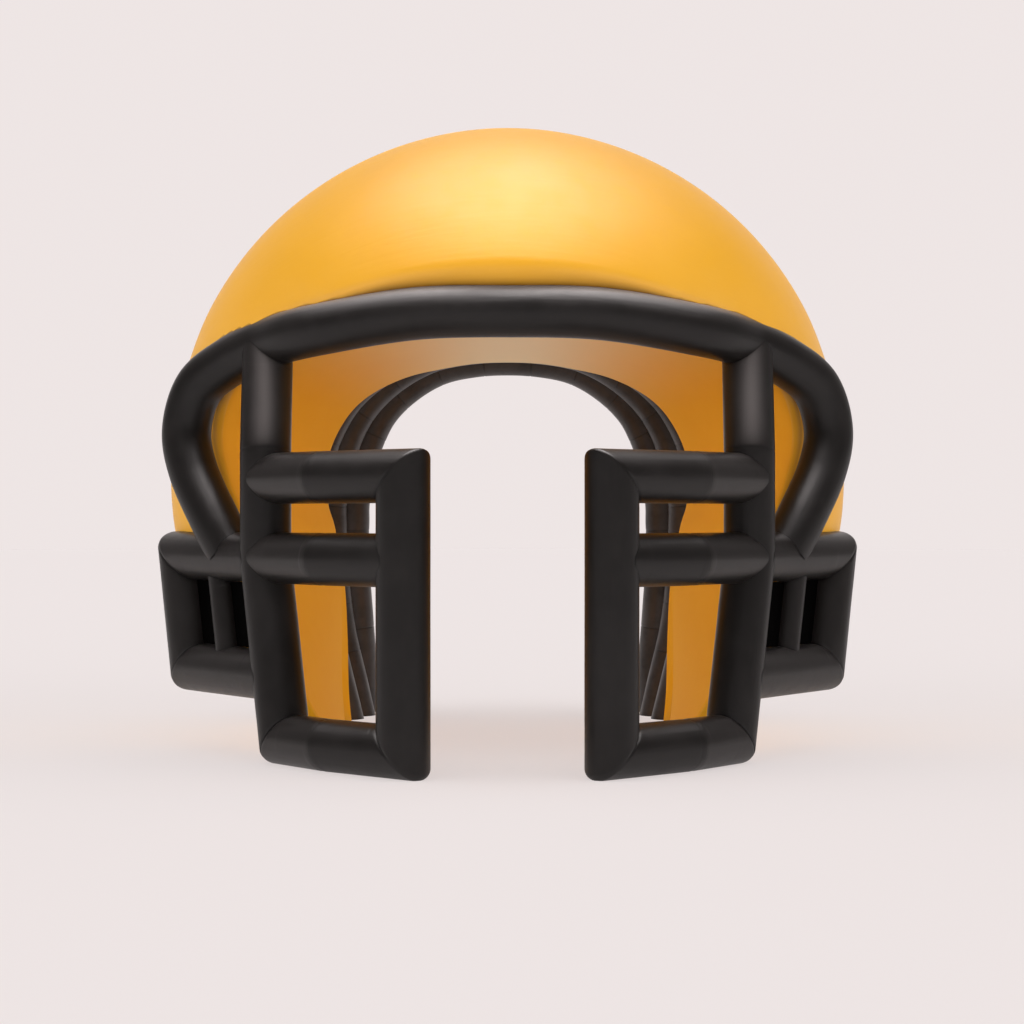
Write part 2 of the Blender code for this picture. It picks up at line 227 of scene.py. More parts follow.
class HelmetSizes(bpy.types.PropertyGroup):
    """Sizes of the blown pieces."""

    tube_radius: length("Post and brow radius", 0.145, "Radius of the posts and the brow tube")
    branch_radius: length("Cross tube radius", 0.1435, "Radius of the tubes between the posts")
    bar_radius: length("Guard bar radius", 0.085, "Radius of the bar inside each side guard")
    hoop_radius: length("Hoop radius", 0.140, "Radius of the rear hoops")
    shell_wall: length("Dome wall", 0.280, "Thickness of the blown dome wall")
    infill_thickness: length("Infill cloth", 0.002, "Thickness of the flat infill cloth")
    post_top: length("Post top rounding", 0.020, "Outside rounding of the mask's top corners")
    post_corner: length("Post foot rounding", 0.038, "Outside rounding of the mask's bottom corners")
    foot_corner: length("Foot corner rounding", 0.070, "Outside rounding where a side post meets the floor")
    guard_corner: length("Guard corner rounding", 0.085, "Outside rounding of the side guard corners")
    seam_depth: length("Seam depth", 0.0045, "How far the cloth tucks in at a welded corner")
    pucker: length("Pucker depth", 0.0020, "Depth of the small puckers beside a welded corner")
    ring_spacing: length("Hoop weld spacing", 0.345, "Distance between the weld rings of a hoop")


class HelmetCloths(bpy.types.PropertyGroup):
    """Colours and finish of the cloths."""

    dome: tint("Dome cloth", (0.70, 0.350, 0.004), "Colour of the dome")
    dome_faded: tint("Dome cloth, faded", (0.72, 0.375, 0.012), "Colour of the dome where it is rubbed")
    tubes: tint("Tube cloth", (0.0052, 0.0040, 0.0035), "Colour of the air tubes")
    # Mixed in by real wear patches and, by the panel share, as painted sheen
    tubes_rubbed_and_sheen: tint("Tube cloth, rubbed", (0.0145, 0.0124, 0.0116), "Colour of rubbed air tubes")
    # Colour of the painted highlights on the side posts and the brow
    tubes_painted_highlight: tint("Tube cloth, pale", (0.150, 0.138, 0.135), "Colour of the air tubes where light rakes them")
    # Lighter than the tube cloth: painted light from behind the dome on the same black cloth
    hoops: tint("Hoop cloth", (0.066, 0.0580, 0.0555), "Colour of the rear hoops")
    # The liner's colours and glow are painted light: a glow on its sides and a painted reflection at its top
    liner: tint("Liner light", (0.40, 0.110, 0.002), "Colour of the daylight through the dome's sides")
    liner_painted_reflection: tint("Liner light, top", (0.58, 0.80, 0.76), "Colour of the daylight through the dome's top")
    liner_painted_glow: share("Liner glow", 0.25, "How much daylight comes through the dome")
    # Near black and almost without reflection, darker than the tube cloth: the guard's infill, with painted shade in
    # its finish
    infill: tint("Infill cloth", (0.0008, 0.0006, 0.0006), "Colour of the flat infill panels")
    gloss: share("Tube roughness", 0.43, "Roughness of the tube cloth")
    dome_gloss: share("Dome roughness", 0.46, "Roughness of the dome cloth")


def amount(name, value, text):
    return FloatProperty(name=name, description=text, default=value, min=0)


class HelmetStage(bpy.types.PropertyGroup):
    """Floor, light and backdrop."""

    backdrop: tint("Backdrop", (0.855, 0.787, 0.779), "Colour of the backdrop and of the lit floor")
    floor: tint("Floor", (0.330, 0.322, 0.321), "Colour of the floor, which also glows a little")
    floor_glow: share("Floor glow", 0.66, "Share of the backdrop's colour that the floor gives off itself")
    floor_mirror: share("Floor in reflections", 0.60, "How much of its own glow the floor shows in reflections")
    front_glow: amount("Front glow", 2.55, "Brightness of the front of the room as it lights matt cloth")
    rear_glow: amount("Rear glow", 1.4, "Brightness of the rear of the room as it lights matt cloth")
    side_glow: amount("Side glow", 1.0, "How much brighter the sides of the room are than its front and rear")
    top_share: share("Top share", 0.08, "Brightness of the room's ceiling beside its walls")
    front_mirror: amount("Front mirror", 0.13, "Brightness of the front of the room in reflections")
    rear_mirror: amount("Rear mirror", 1.0, "Brightness of the rear of the room in reflections")
    top_mirror: amount("Top mirror", 13.0, "Brightness of the ceiling light in reflections")
    top_light: amount("Top light", 0.8, "Strength of the wide light from above")
    top_spread: FloatProperty(name="Top light spread", description="How wide the light from above looks",
                              default=math.radians(70), min=0, subtype="ANGLE")
    top_tilt: FloatProperty(name="Top light tilt", description="How far behind the object the light stands",
                            default=math.radians(8), subtype="ANGLE")


def unit(way):
    way = np.asarray(way, dtype=float)
    return way / np.linalg.norm(way)


def smooth_rows(rows, steps):
    """Rows on a smooth curve through the given rows, with steps for each stretch."""
    rows = np.array(rows, dtype=float)
    padded = np.vstack((2 * rows[0] - rows[1], rows, 2 * rows[-1] - rows[-2]))
    out = []
    for before, start, end, after in zip(padded, padded[1:], padded[2:], padded[3:]):
        for t in np.arange(steps) / steps:
            rise = (end - before) * t + (2 * before - 5 * start + 4 * end - after) * t ** 2
            out.append(start + 0.5 * (rise + (3 * start - before - 3 * end + after) * t ** 3))
    out.append(rows[-1])
    return np.array(out)


class Mask:
    """Points of one mask half and side guard. side is 1 on the right and -1 on the left."""

    def __init__(self, side):
        self.side = side
        self.front_way = np.array((side * math.cos(FRONT_YAW), math.sin(FRONT_YAW), 0))
        self.side_way = np.array((side * math.cos(SIDE_YAW), math.sin(SIDE_YAW), 0))
        self.front_face = np.array((side * math.sin(FRONT_YAW), -math.cos(FRONT_YAW), 0))
        self.side_face = np.array((side * math.sin(SIDE_YAW), -math.cos(SIDE_YAW), 0))
        self.corner = np.array((side * INNER_POST_X, INNER_POST_Y, 0))
        self.bend = self.corner + FRONT_RUN * self.front_way

    def inner(self, z):
        return self.corner + (0, 0, z)

    def turn(self, z):
        """Where a cross tube turns back, nearer the walkway for a lower tube."""
        return self.corner + (TURN_RUN - TURN_LEAN * (MIDDLE_Z - z)) * self.front_way + (0, 0, z)

    def back(self, run, z):
        return self.bend + run * self.side_way + (0, 0, z)

    def post(self, z):
        """The side post, which leans towards the walkway below the middle tube."""
        return self.back(SIDE_POST_RUN - SIDE_POST_LEAN * max(0, MIDDLE_Z - z), z)

    def guard(self, run, z):
        return self.back(run - GUARD_LEAN * (MIDDLE_Z - z), z)

    def brow_end(self):
        last = np.array(BROW_ROWS[-1]) * (self.side, 1, 1)
        end = self.back(BROW_END_RUN, MIDDLE_Z)
        return end - unit(end - last) * STOP_SHORT

    def brow_post(self):
        return np.array((self.back(BROW_POST_RUN, BROW_POST_Z)[0], BROW_POST_Y, BROW_POST_Z))


def brow_line(steps):
    """Centre line of the brow tube, from the left guard over the front to the right guard."""
    right = Mask(1)
    half = [np.array(row) for row in BROW_ROWS]
    half.insert(BROW_POST_ROW, right.brow_post())
    half.append(right.brow_end())
    mirrored = [point * (-1, 1, 1) for point in half[:0:-1]]
    return smooth_rows(mirrored + half, steps)


class Route:
    """A centre line with its section's two axes. Places on it are metres from its first point."""

    def __init__(self, points, facing, past=RUN_PAST):
        points = np.array(points, dtype=float)
        first = points[0] - unit(points[1] - points[0]) * past
        last = points[-1] + unit(points[-1] - points[-2]) * past
        points = np.vstack((first, points, last))
        self.at = np.concatenate(((0,), np.cumsum(np.linalg.norm(np.diff(points, axis=0), axis=1)))) - past
        self.full = self.at[-2]
        ways = np.gradient(points, axis=0)
        ways[0] = ways[1] = points[1] - points[0] if len(points) == 4 else ways[1]
        ways[-1] = ways[-2] = points[-1] - points[-2] if len(points) == 4 else ways[-2]
        ways /= np.linalg.norm(ways, axis=1)[:, None]
        across = []
        for way in ways:
            facing = unit(facing - way * np.dot(facing, way))
            across.append(facing)
        across = np.array(across)
        self.table = np.hstack((points, across, np.cross(ways, across)))

    def point(self, at, a, b):
        """The point at a place on the route, a and b out along the section's axes."""
        at, a, b = np.broadcast_arrays(at, a, b)
        cols = [np.interp(at.ravel(), self.at, column).reshape(at.shape) for column in self.table.T]
        where = np.stack(cols, axis=-1)
        return where[..., :3] + a[..., None] * where[..., 3:6] + b[..., None] * where[..., 6:]


class End:
    """What all tube ends share."""

    rounding = 0
    half_turn = 0
    welded = False


class FlatEnd(End):
    """A tube end cut off at a plane. away points out of the tube."""

    def __init__(self, point, away):
        self.centre = np.array(point, dtype=float)
        self.away = unit(away)

    def room(self, points):
        """How far points are inside the end, and negative past it."""
        return (self.centre - points) @ self.away


class Mitre(FlatEnd):
    """An end welded to a neighbour at the plane that halves their angle, rounded outside."""

    welded = True

    def __init__(self, joint, own, other, rounding=0, grow=0):
        to_own = unit(own - joint)
        to_other = unit(other - joint)
        away = unit(to_other - to_own)
        FlatEnd.__init__(self, joint + away * (grow - GAP / 2), away)
        self.along = to_own
        self.outward = -unit(to_other - to_own * np.dot(to_own, to_other))
        self.half_turn = (math.pi - math.acos(np.clip(np.dot(to_own, to_other), -1, 1))) / 2
        self.rounding = rounding


class Saddle(End):
    """An end that lies on the round side of a neighbour."""

    def __init__(self, line, radius):
        line = np.array(line, dtype=float)
        self.starts = line[:-1]
        self.ways = np.diff(line, axis=0)
        self.radius = radius

    def room(self, points):
        flat = points.reshape(-1, 3)
        best = np.full(len(flat), np.inf)
        for start, way in zip(self.starts, self.ways):
            shares = np.clip((flat - start) @ way / (way @ way), 0, 1)
            best = np.minimum(best, np.linalg.norm(flat - start - shares[:, None] * way, axis=1))
        return best.reshape(points.shape[:-1]) - self.radius


def crossing(route, end, inside, outside, a, b):
    """Where lines along the route, at offsets a and b, reach an end between two places."""
    near = np.full(np.shape(a), float(inside))
    far = np.full(np.shape(a), float(outside))
    for _ in range(36):
        middle = (near + far) / 2
        free = end.room(route.point(middle, a, b)) > 0
        near = np.where(free, middle, near)
        far = np.where(free, far, middle)
    return near


def ripples(seed, waves, turns):
    """A repeatable uneven wave round a tube, from 0 to 1."""
    rng = np.random.default_rng(seed)
    total = np.zeros_like(turns)
    for count in waves:
        total += rng.uniform(0.5, 1) * np.sin(count * turns + rng.uniform(0, 2 * math.pi))
    total -= total.min()
    return total / total.max()


class Tube:
    """A blown tube between two ends, as rings of points with a cap at each end."""

    def __init__(self, route, radius, start, end, limits, sides, sizes, seed, rings=()):
        self.radius = radius
        self.turns = 2 * math.pi * np.arange(sides) / sides
        self.a = radius * np.cos(self.turns)
        self.b = radius * np.sin(self.turns)
        self.route = route
        self.sizes = sizes
        middle = sum(limits) / 2
        zones = [self.rounded(sign, face, crossing(route, face, middle, limit, self.a, self.b))
                 for sign, face, limit in zip((1, -1), (start, end), limits)]
        inner = [max(zones[0][2] + zones[0][4]) + ZONE_CLEAR, min(zones[1][2] - zones[1][4]) - ZONE_CLEAR]
        if inner[0] > inner[1]:
            inner = [sum(inner) / 2] * 2
        first = self.zone(*zones[0], inner[0], seed)
        last = [values[::-1] for values in self.zone(*zones[1], inner[1], seed + 1)]
        parts = zip(first, self.wall(*inner, rings, seed + 2), last)
        self.points, self.places, self.seam = (np.concatenate(values) for values in parts)
        self.points[..., 2] = np.maximum(self.points[..., 2], 0)
        self.caps = [self.cap(face, middle, limit, rim)
                     for face, limit, rim in zip((start, end), limits, (self.points[0], self.points[-1]))]

    def rounded(self, sign, face, edge):
        """An end as zone takes it: sign, face, edge, rounding, trimmed length, arc and how far out it lies."""
        out = np.zeros(len(edge))
        if face.welded:
            out = np.maximum(0, (self.route.point(edge, self.a, self.b) - face.centre) @ face.outward)
        rounding = face.rounding * (out / self.radius) ** 2
        return sign, face, edge, rounding, rounding * math.tan(face.half_turn), rounding * face.half_turn, out

    def cap(self, face, middle, limit, rim):
        """Rings from the rim to one point in the middle of an end."""
        rings = []
        for q in CAP_SHARES + (0,):
            if isinstance(face, Saddle):
                a, b = (self.a * q, self.b * q) if q else (np.zeros(1), np.zeros(1))
                rings.append(self.route.point(crossing(self.route, face, middle, limit, a, b), a, b))
            else:
                hub = rim.mean(axis=0)
                rings.append(hub + q * (rim - hub) if q else hub[None])
        for ring in rings:
            ring[..., 2] = np.maximum(ring[..., 2], 0)
        return rings

    def wall(self, start, end, rings, seed):
        """Points, places and seam values, which paint shade along the weld rings, between the two end zones."""
        rows = self.middle_rows(start, end, rings)
        places = np.repeat(rows[:, None], len(self.turns), axis=1)
        depth = self.uneven(places, seed)
        seam = np.zeros_like(places)
        for ring in rings:
            depth = depth + RING_DEPTH * np.exp(-((places - ring) / RING_WIDTH) ** 2)
            seam = np.maximum(seam, RING_SHADE * np.exp(-((places - ring) / RING_SHADE_WIDTH) ** 2))
        return self.pressed(self.route.point(places, self.a, self.b), places, depth), places, seam

    def middle_rows(self, start, end, rings):
        count = max(2, math.ceil((end - start) / ROW_STEP) + 1)
        rows = list(np.linspace(start, end, count)) if end > start else [start]
        for ring in rings:
            rows = [row for row in rows if abs(row - ring) > RING_CLEAR or row in (start, end)]
            rows += [ring + step for step in RING_ROWS]
        return np.array(sorted(row for row in rows if start <= row <= end))

    def uneven(self, places, seed):
        """A slight unevenness of blown cloth, as a depth below the true round."""
        rng = np.random.default_rng(seed)
        total = np.zeros_like(places)
        for _ in range(4):
            waves = rng.integers(1, 4)
            pace = rng.uniform(2, 9)
            total += np.sin(waves * self.turns + pace * places + rng.uniform(0, 2 * math.pi))
        return UNEVEN_DEPTH * (1 + total / 4)

    def pressed(self, points, places, depth):
        """The points moved in towards the centre line by depth."""
        hub = self.route.point(places, 0 * places, 0 * places)
        way = points - hub
        return points - way / np.linalg.norm(way, axis=-1)[..., None] * depth[..., None]

    def zone(self, sign, face, edge, rounding, trimmed, arc, out, inner, seed):
        """Rows from an end to a full round section. Also gives their places and closeness to the seam, which sets
        the painted shade there.
        """
        reach = np.abs(inner - edge) - trimmed + arc
        steps = (np.arange(ZONE_ROWS) / ZONE_ROWS) ** 1.7
        run = steps[:, None] * reach
        places = edge + sign * (trimmed + np.maximum(0, run - arc))
        points = self.route.point(places, self.a, self.b)
        if face.welded and face.rounding:
            angle = np.where(run < arc, (arc - run) / np.maximum(rounding, 1e-9), 0)
            points -= (rounding * np.sin(angle))[..., None] * face.along
            points -= (rounding * (1 - np.cos(angle)))[..., None] * face.outward
        depth = self.uneven(places, seed + 7) * (1 - np.exp(-run / 0.03))
        seam = np.exp(-run / SEAM_REACH)
        within = 1 - out / self.radius
        if not isinstance(face, Saddle):
            waves = ripples(seed, (7, 11, 16, 23, 31), self.turns)
            fade = np.exp(-run / PUCKER_REACH) * (1 - seam)
            depth = depth + self.sizes.pucker * waves * within ** 2 * fade
        points = self.pressed(points, places, depth)
        if face.welded:
            tuck = face.centre - points[0]
            tuck -= np.outer(tuck @ face.away, face.away)
            tuck /= np.linalg.norm(tuck, axis=1)[:, None]
            tucked = self.sizes.seam_depth * (0.25 + 0.75 * within) * np.exp(-(run / TUCK_REACH) ** 2)
            points += tuck * tucked[..., None]
            # Painted shade: it is strongest on the inner side of a welded corner, where shade falls
            seam = seam * (0.3 + 0.7 * within ** 2)
        return points, places, seam


def wall_faces(rows, sides):
    """Corner numbers of the quads between rings of points."""
    k = np.arange(sides)
    n = (k + 1) % sides
    lows = [row * sides for row in range(rows - 1)]
    return np.concatenate([np.stack((low + k, low + n, low + sides + n, low + sides + k), axis=1) for low in lows])


def map_cloth(mesh, over, along):
    """Lays the cloth map on a wall's faces, which come first. over has one column more than along."""
    rows, sides = along.shape
    k = np.arange(sides)
    n = (k + 1) % sides
    corners = np.zeros((rows - 1, sides, 4, 2))
    for axis, values, after in ((0, over, k + 1), (1, along, n)):
        low, high = values[:-1], values[1:]
        corners[..., axis] = np.stack((low[:, k], low[:, after], high[:, after], high[:, k]), axis=-1)
    uv = np.zeros((len(mesh.loops), 2))
    uv[: corners.size // 2] = corners.reshape(-1, 2)
    mesh.uv_layers.new(name="cloth").data.foreach_set("uv", uv.ravel())


def skin(name, tube):
    """A closed mesh of a tube, with a cloth map in metres and its seam values for the painted shade at seams."""
    rows, sides = tube.points.shape[:2]
    points = [tube.points.reshape(-1, 3)]
    faces = [tuple(face) for face in wall_faces(rows, sides)]
    total = rows * sides
    for before, rings in zip((0, (rows - 1) * sides), tube.caps):
        for ring in rings:
            points.append(ring)
            for k in range(sides):
                n = (k + 1) % sides
                beyond = (total + n, total + k) if len(ring) > 1 else (total,)
                faces.append((before + k, before + n) + beyond)
            before = total
            total += len(ring)
    mesh = bpy.data.meshes.new(name)
    mesh.from_pydata(np.concatenate(points).tolist(), [], faces)
    over = 2 * math.pi * tube.radius / sides * np.arange(sides + 1)
    map_cloth(mesh, np.tile(over, (rows, 1)), tube.places)
    fill_attribute(mesh, "seam", with_caps(tube.seam))
    return mesh


def fill_attribute(mesh, name, values):
    mesh.attributes.new(name, "FLOAT", "POINT").data.foreach_set("value", np.asarray(values, dtype=float))


def reworked(mesh, work=None):
    """Turns a mesh's faces outward, then lets work change it."""
    solid = bmesh.new()
    solid.from_mesh(mesh)
    bmesh.ops.recalc_face_normals(solid, faces=solid.faces)
    if work:
        work(solid)
    solid.to_mesh(mesh)
    solid.free()


def place(name, mesh, material, nodes, sharp=40):
    """Puts a finished mesh in the scene as a piece that stands for its nodes."""
    reworked(mesh)
    mesh.shade_smooth()
    mesh.set_sharp_from_angle(angle=math.radians(sharp))
    mesh.materials.clear()
    mesh.materials.append(material)
    item = bpy.data.objects.new(name, mesh)
    bpy.context.scene.collection.objects.link(item)
    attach(item, "root")
    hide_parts(*nodes)
    return item


def with_caps(values):
    """A tube's values for all points of its mesh. The caps get 0."""
    spare = 2 * (len(CAP_SHARES) * values.shape[1] + 1)
    return np.concatenate((values.ravel(), np.zeros(spare)))


def blown(name, tube, material, panel=0.0):
    """Places a tube as an air-filled piece. panel is 1 where the cloth gets its full painted sheen, a lighter colour
    with a lower roughness.
    """
    mesh = skin(name + "_skin", tube)
    values = np.full(len(mesh.vertices), float(panel)) if np.isscalar(panel) else panel
    fill_attribute(mesh, "panel", values)
    item = place(name + "_blown", mesh, material, (name,))
    return item


# Materials

def feed(tree, socket, value):
    """Sets a socket's value, or links it to the socket that feeds it."""
    if isinstance(value, bpy.types.NodeSocket):
        tree.links.new(value, socket)
    else:
        socket.default_value = value


def node(tree, kind, inputs=(), **values):
    """A new node. inputs gives its sockets their values or what feeds them."""
    made = tree.nodes.new(kind)
    for key, value in values.items():
        setattr(made, key, value)
    for key, value in dict(inputs).items():
        feed(tree, made.inputs[key], value)
    return made


def attribute(tree, name):
    return node(tree, "ShaderNodeAttribute", attribute_name=name).outputs["Fac"]


def math_node(tree, operation, *values, clamp=False):
    return node(tree, "ShaderNodeMath", enumerate(values), operation=operation, use_clamp=clamp).outputs[0]


def new_group(name, inputs, outputs):
    """A shader group with named sockets. Gives the group and its input and output nodes."""
    group = bpy.data.node_groups.new(name, "ShaderNodeTree")
    for socket, kind, value in inputs:
        made = group.interface.new_socket(name=socket, in_out="INPUT", socket_type=kind)
        if value is not None:
            made.default_value = value
    for socket, kind in outputs:
        group.interface.new_socket(name=socket, in_out="OUTPUT", socket_type=kind)
    return group, group.nodes.new("NodeGroupInput"), group.nodes.new("NodeGroupOutput")


def scaled(tree, vector, around, along):
    both = node(tree, "ShaderNodeCombineXYZ", enumerate((around, along, around)))
    return node(tree, "ShaderNodeVectorMath", {0: vector, 1: both.outputs[0]}, operation="MULTIPLY").outputs[0]


def crease_group():
    """Long faint creases, as a height from 0 to 1."""
    inputs = (("Vector", "NodeSocketVector", None), ("Around", "NodeSocketFloat", 22.0),
              ("Along", "NodeSocketFloat", 2.2))
    group, source, sink = new_group("blown creases", inputs, (("Height", "NodeSocketFloat"),))
    stretched = scaled(group, *(source.outputs[name] for name in ("Vector", "Around", "Along")))
    noise = node(group, "ShaderNodeTexNoise",
                 {"Vector": stretched, "Scale": 1, "Detail": 4, "Roughness": 0.5, "Distortion": 0.4})
    feed(group, sink.inputs["Height"], noise.outputs[0])
    return group


def weave_group():
    """The fine plain weave under the coating, as a height from 0 to 1."""
    inputs = (("Vector", "NodeSocketVector", None), ("Threads", "NodeSocketFloat", 620.0))
    group, source, sink = new_group("coated weave", inputs, (("Height", "NodeSocketFloat"),))
    split = node(group, "ShaderNodeSeparateXYZ", {0: source.outputs["Vector"]})
    turns = math_node(group, "MULTIPLY", source.outputs["Threads"], 2 * math.pi)
    warp, weft = (math_node(group, "SINE", math_node(group, "MULTIPLY", split.outputs[k], turns)) for k in (0, 1))
    over = math_node(group, "MULTIPLY", warp, weft)
    feed(group, sink.inputs["Height"], math_node(group, "MULTIPLY_ADD", over, 0.5, 0.5))
    return group


def rub_group():
    """Soft patches where cloth is rubbed or dusty, as a mask."""
    inputs = (("Vector", "NodeSocketVector", None), ("Scale", "NodeSocketFloat", 1.6),
              ("From", "NodeSocketFloat", 0.42), ("To", "NodeSocketFloat", 0.75))
    group, source, sink = new_group("rubbed patches", inputs, (("Mask", "NodeSocketFloat"),))
    given = source.outputs
    noise = node(group, "ShaderNodeTexNoise",
                 {"Vector": given["Vector"], "Scale": given["Scale"], "Detail": 6, "Roughness": 0.62})
    fit = node(group, "ShaderNodeMapRange",
               {"Value": noise.outputs[0], "From Min": given["From"], "From Max": given["To"]},
               interpolation_type="SMOOTHSTEP")
    feed(group, sink.inputs["Mask"], fit.outputs["Result"])
    return group


def cloth_groups():
    makers = (("blown creases", crease_group), ("coated weave", weave_group), ("rubbed patches", rub_group))
    return [bpy.data.node_groups.get(name) or make() for name, make in makers]


def mix_colour(tree, factor, first, second):
    made = node(tree, "ShaderNodeMix", data_type="RGBA")
    slots = [socket for socket in made.inputs if socket.type == "RGBA"]
    for socket, value in zip((made.inputs[0], *slots), (factor, first, second)):
        feed(tree, socket, value)
    return next(socket for socket in made.outputs if socket.type == "RGBA")


def effect(tree, group, **inputs):
    return node(tree, "ShaderNodeGroup", inputs, node_tree=group).outputs[0]


def bump(tree, height, depth, **under):
    """A normal raised by height, over the normal given as Normal."""
    return node(tree, "ShaderNodeBump", {"Strength": 1, "Distance": depth, "Height": height, **under}).outputs[0]


def coated_cloth(name, colour, rubbed, painted_shade, pale, rough, crease_depth, painted_sheen=0.0, weave_depth=WEAVE_DEPTH,
                 scale=1.6, mirror=0.5):
    """Coated cloth: patches of wear, painted shade at seams, painted sheen on lighter panels, painted highlights,
    long creases and a fine weave.
    """
    creases, weave, rub = cloth_groups()
    material = bpy.data.materials.new(name)
    material.use_nodes = True
    tree = material.node_tree
    shader = tree.nodes["Principled BSDF"]
    cloth = node(tree, "ShaderNodeUVMap", uv_map="cloth").outputs[0]
    where = node(tree, "ShaderNodeTexCoord").outputs["Object"]
    panel = attribute(tree, "panel")
    patches, fine = (effect(tree, rub, Vector=where, Scale=size) for size in (scale, scale * 9))
    wear = math_node(tree, "MULTIPLY_ADD", fine, 0.35, math_node(tree, "MULTIPLY", patches, 0.65))
    # Lighter colour from real wear patches and, by the panel share, from painted sheen
    light = math_node(tree, "MULTIPLY_ADD", panel, painted_sheen, math_node(tree, "MULTIPLY", wear, 0.75))
    # Painted shade: seam values turn the colour towards the shade colour at seams, weld rings and, on the dome,
    # beside the tubes
    seam = math_node(tree, "MULTIPLY", attribute(tree, "seam"), 0.8, clamp=True)
    base = mix_colour(tree, light, colour, rubbed)
    # Painted highlight: the pale attribute mixes in the highlight colour
    base = mix_colour(tree, attribute(tree, "pale"), base, pale)
    drift = math_node(tree, "MULTIPLY_ADD", wear, 0.16, rough - 0.05)
    folds = bump(tree, effect(tree, creases, Vector=cloth), crease_depth)
    feed(tree, shader.inputs["Base Color"], mix_colour(tree, seam, base, painted_shade))
    feed(tree, shader.inputs["Roughness"],
         math_node(tree, "SUBTRACT", drift, math_node(tree, "MULTIPLY", panel, 0.07)))
    feed(tree, shader.inputs["Normal"], bump(tree, effect(tree, weave, Vector=cloth), weave_depth, Normal=folds))
    shader.inputs["Specular IOR Level"].default_value = mirror
    return material


def with_alpha(colour):
    return (*colour, 1.0)


def tube_cloth(name, cloths, colour=None):
    """The air tubes' cloth, made once for each name."""
    # 0.55 is how far the panel share lightens the tube cloth: painted sheen
    return bpy.data.materials.get(name) or coated_cloth(
        name, with_alpha(colour or cloths.tubes), with_alpha(cloths.tubes_rubbed_and_sheen), TUBE_PAINTED_SHADE,
        with_alpha(cloths.tubes_painted_highlight), cloths.gloss, TUBE_CREASE, 0.55)


def paint_liner_light(material, cloths):
    """Paints light onto the liner as emission, a painted glow that turns into a painted grey reflection towards its
    crown, and gives it a matt face.
    """
    tree = material.node_tree
    shader = tree.nodes["Principled BSDF"]
    inside = attribute(tree, "inside")
    # Painted light: the liner's glow colour, turned towards the painted reflection colour near the crown, kept out
    # of reflections and faded where the painted shade lies
    light = mix_colour(tree, attribute(tree, "high"), with_alpha(cloths.liner), with_alpha(cloths.liner_painted_reflection))
    mirrored = math_node(tree, "MULTIPLY", node(tree, "ShaderNodeLightPath").outputs["Is Glossy Ray"], 0.8)
    hidden = math_node(tree, "MAXIMUM", attribute(tree, "seam"), mirrored)
    shown = math_node(tree, "SUBTRACT", inside, hidden, clamp=True)
    feed(tree, shader.inputs["Emission Color"], mix_colour(tree, shown, (0, 0, 0, 1), light))
    shader.inputs["Emission Strength"].default_value = cloths.liner_painted_glow
    rough = shader.inputs["Roughness"].links[0].from_socket
    feed(tree, shader.inputs["Roughness"], math_node(tree, "MAXIMUM", rough, inside))


# Pieces

def straight(start, end, facing):
    return Route((start, end), facing)


def build_post(mask, tag, cloths, sizes, seed):
    top = mask.inner(UPPER_Z)
    foot = mask.inner(BOTTOM_Z)
    route = straight(top, foot, mask.front_face)
    start = Mitre(top, foot, mask.turn(UPPER_Z), sizes.post_top)
    end = Mitre(foot, top, mask.turn(BOTTOM_Z), sizes.post_corner)
    limits = (-PAST_JOINT, route.full + PAST_JOINT)
    tube = Tube(route, sizes.tube_radius, start, end, limits, TUBE_SIDES, sizes, seed)
    blown("inner_post_" + tag, tube, tube_cloth("black mask cloth", cloths))


def side_post_route(mask):
    """The side post's centre line from the brow tube to its foot, with its bends a little rounded."""
    corners = (mask.brow_post(), mask.post(POST_BEND_Z), mask.post(MIDDLE_Z), mask.post(BOTTOM_Z))
    line = [corners[0]]
    for start, end in zip(corners, corners[1:]):
        count = math.ceil(np.linalg.norm(end - start) / POST_STEP)
        line += [start + (end - start) * k / count for k in range(1, count + 1)]
    line = np.array(line)
    line[1:-1] = (line[:-2] + 2 * line[1:-1] + line[2:]) / 4
    return Route(line, mask.side_face)


def build_side_post(mask, tag, cloths, sizes, seed):
    """The side post, with a weld ring at its bend, painted sheen above the ring and a painted highlight strip on the
    front of its upper end.
    """
    route = side_post_route(mask)
    foot = mask.post(BOTTOM_Z)
    start = Saddle(brow_line(BROW_SEAT_STEPS), sizes.tube_radius + GAP)
    end = Mitre(foot, mask.post(MIDDLE_Z), mask.turn(BOTTOM_Z), sizes.foot_corner)
    ring = np.linalg.norm(mask.brow_post() - mask.post(POST_BEND_Z))
    limits = (STOP_SHORT, route.full + PAST_JOINT)
    tube = Tube(route, sizes.tube_radius, start, end, limits, TUBE_SIDES, sizes, seed, (ring,))
    toward = (route.point(tube.places, 0, 0) - tube.points)[..., 1] / sizes.tube_radius
    # Painted highlight: a strip facing the front on the upper end, fading in above the ring
    above = (tube.places < ring) * (1 - np.exp(-np.abs(ring - tube.places) / HIGHLIGHT_FADE))
    panel = np.where(tube.places < ring, POST_TOP_SHEEN, 0)
    pale = PAINTED_HIGHLIGHT * above * np.exp(-np.maximum(0, 1 - toward) / HIGHLIGHT_SPREAD)
    item = blown("side_post_" + tag, tube, tube_cloth("black mask cloth", cloths), with_caps(panel))
    fill_attribute(item.data, "pale", with_caps(pale))


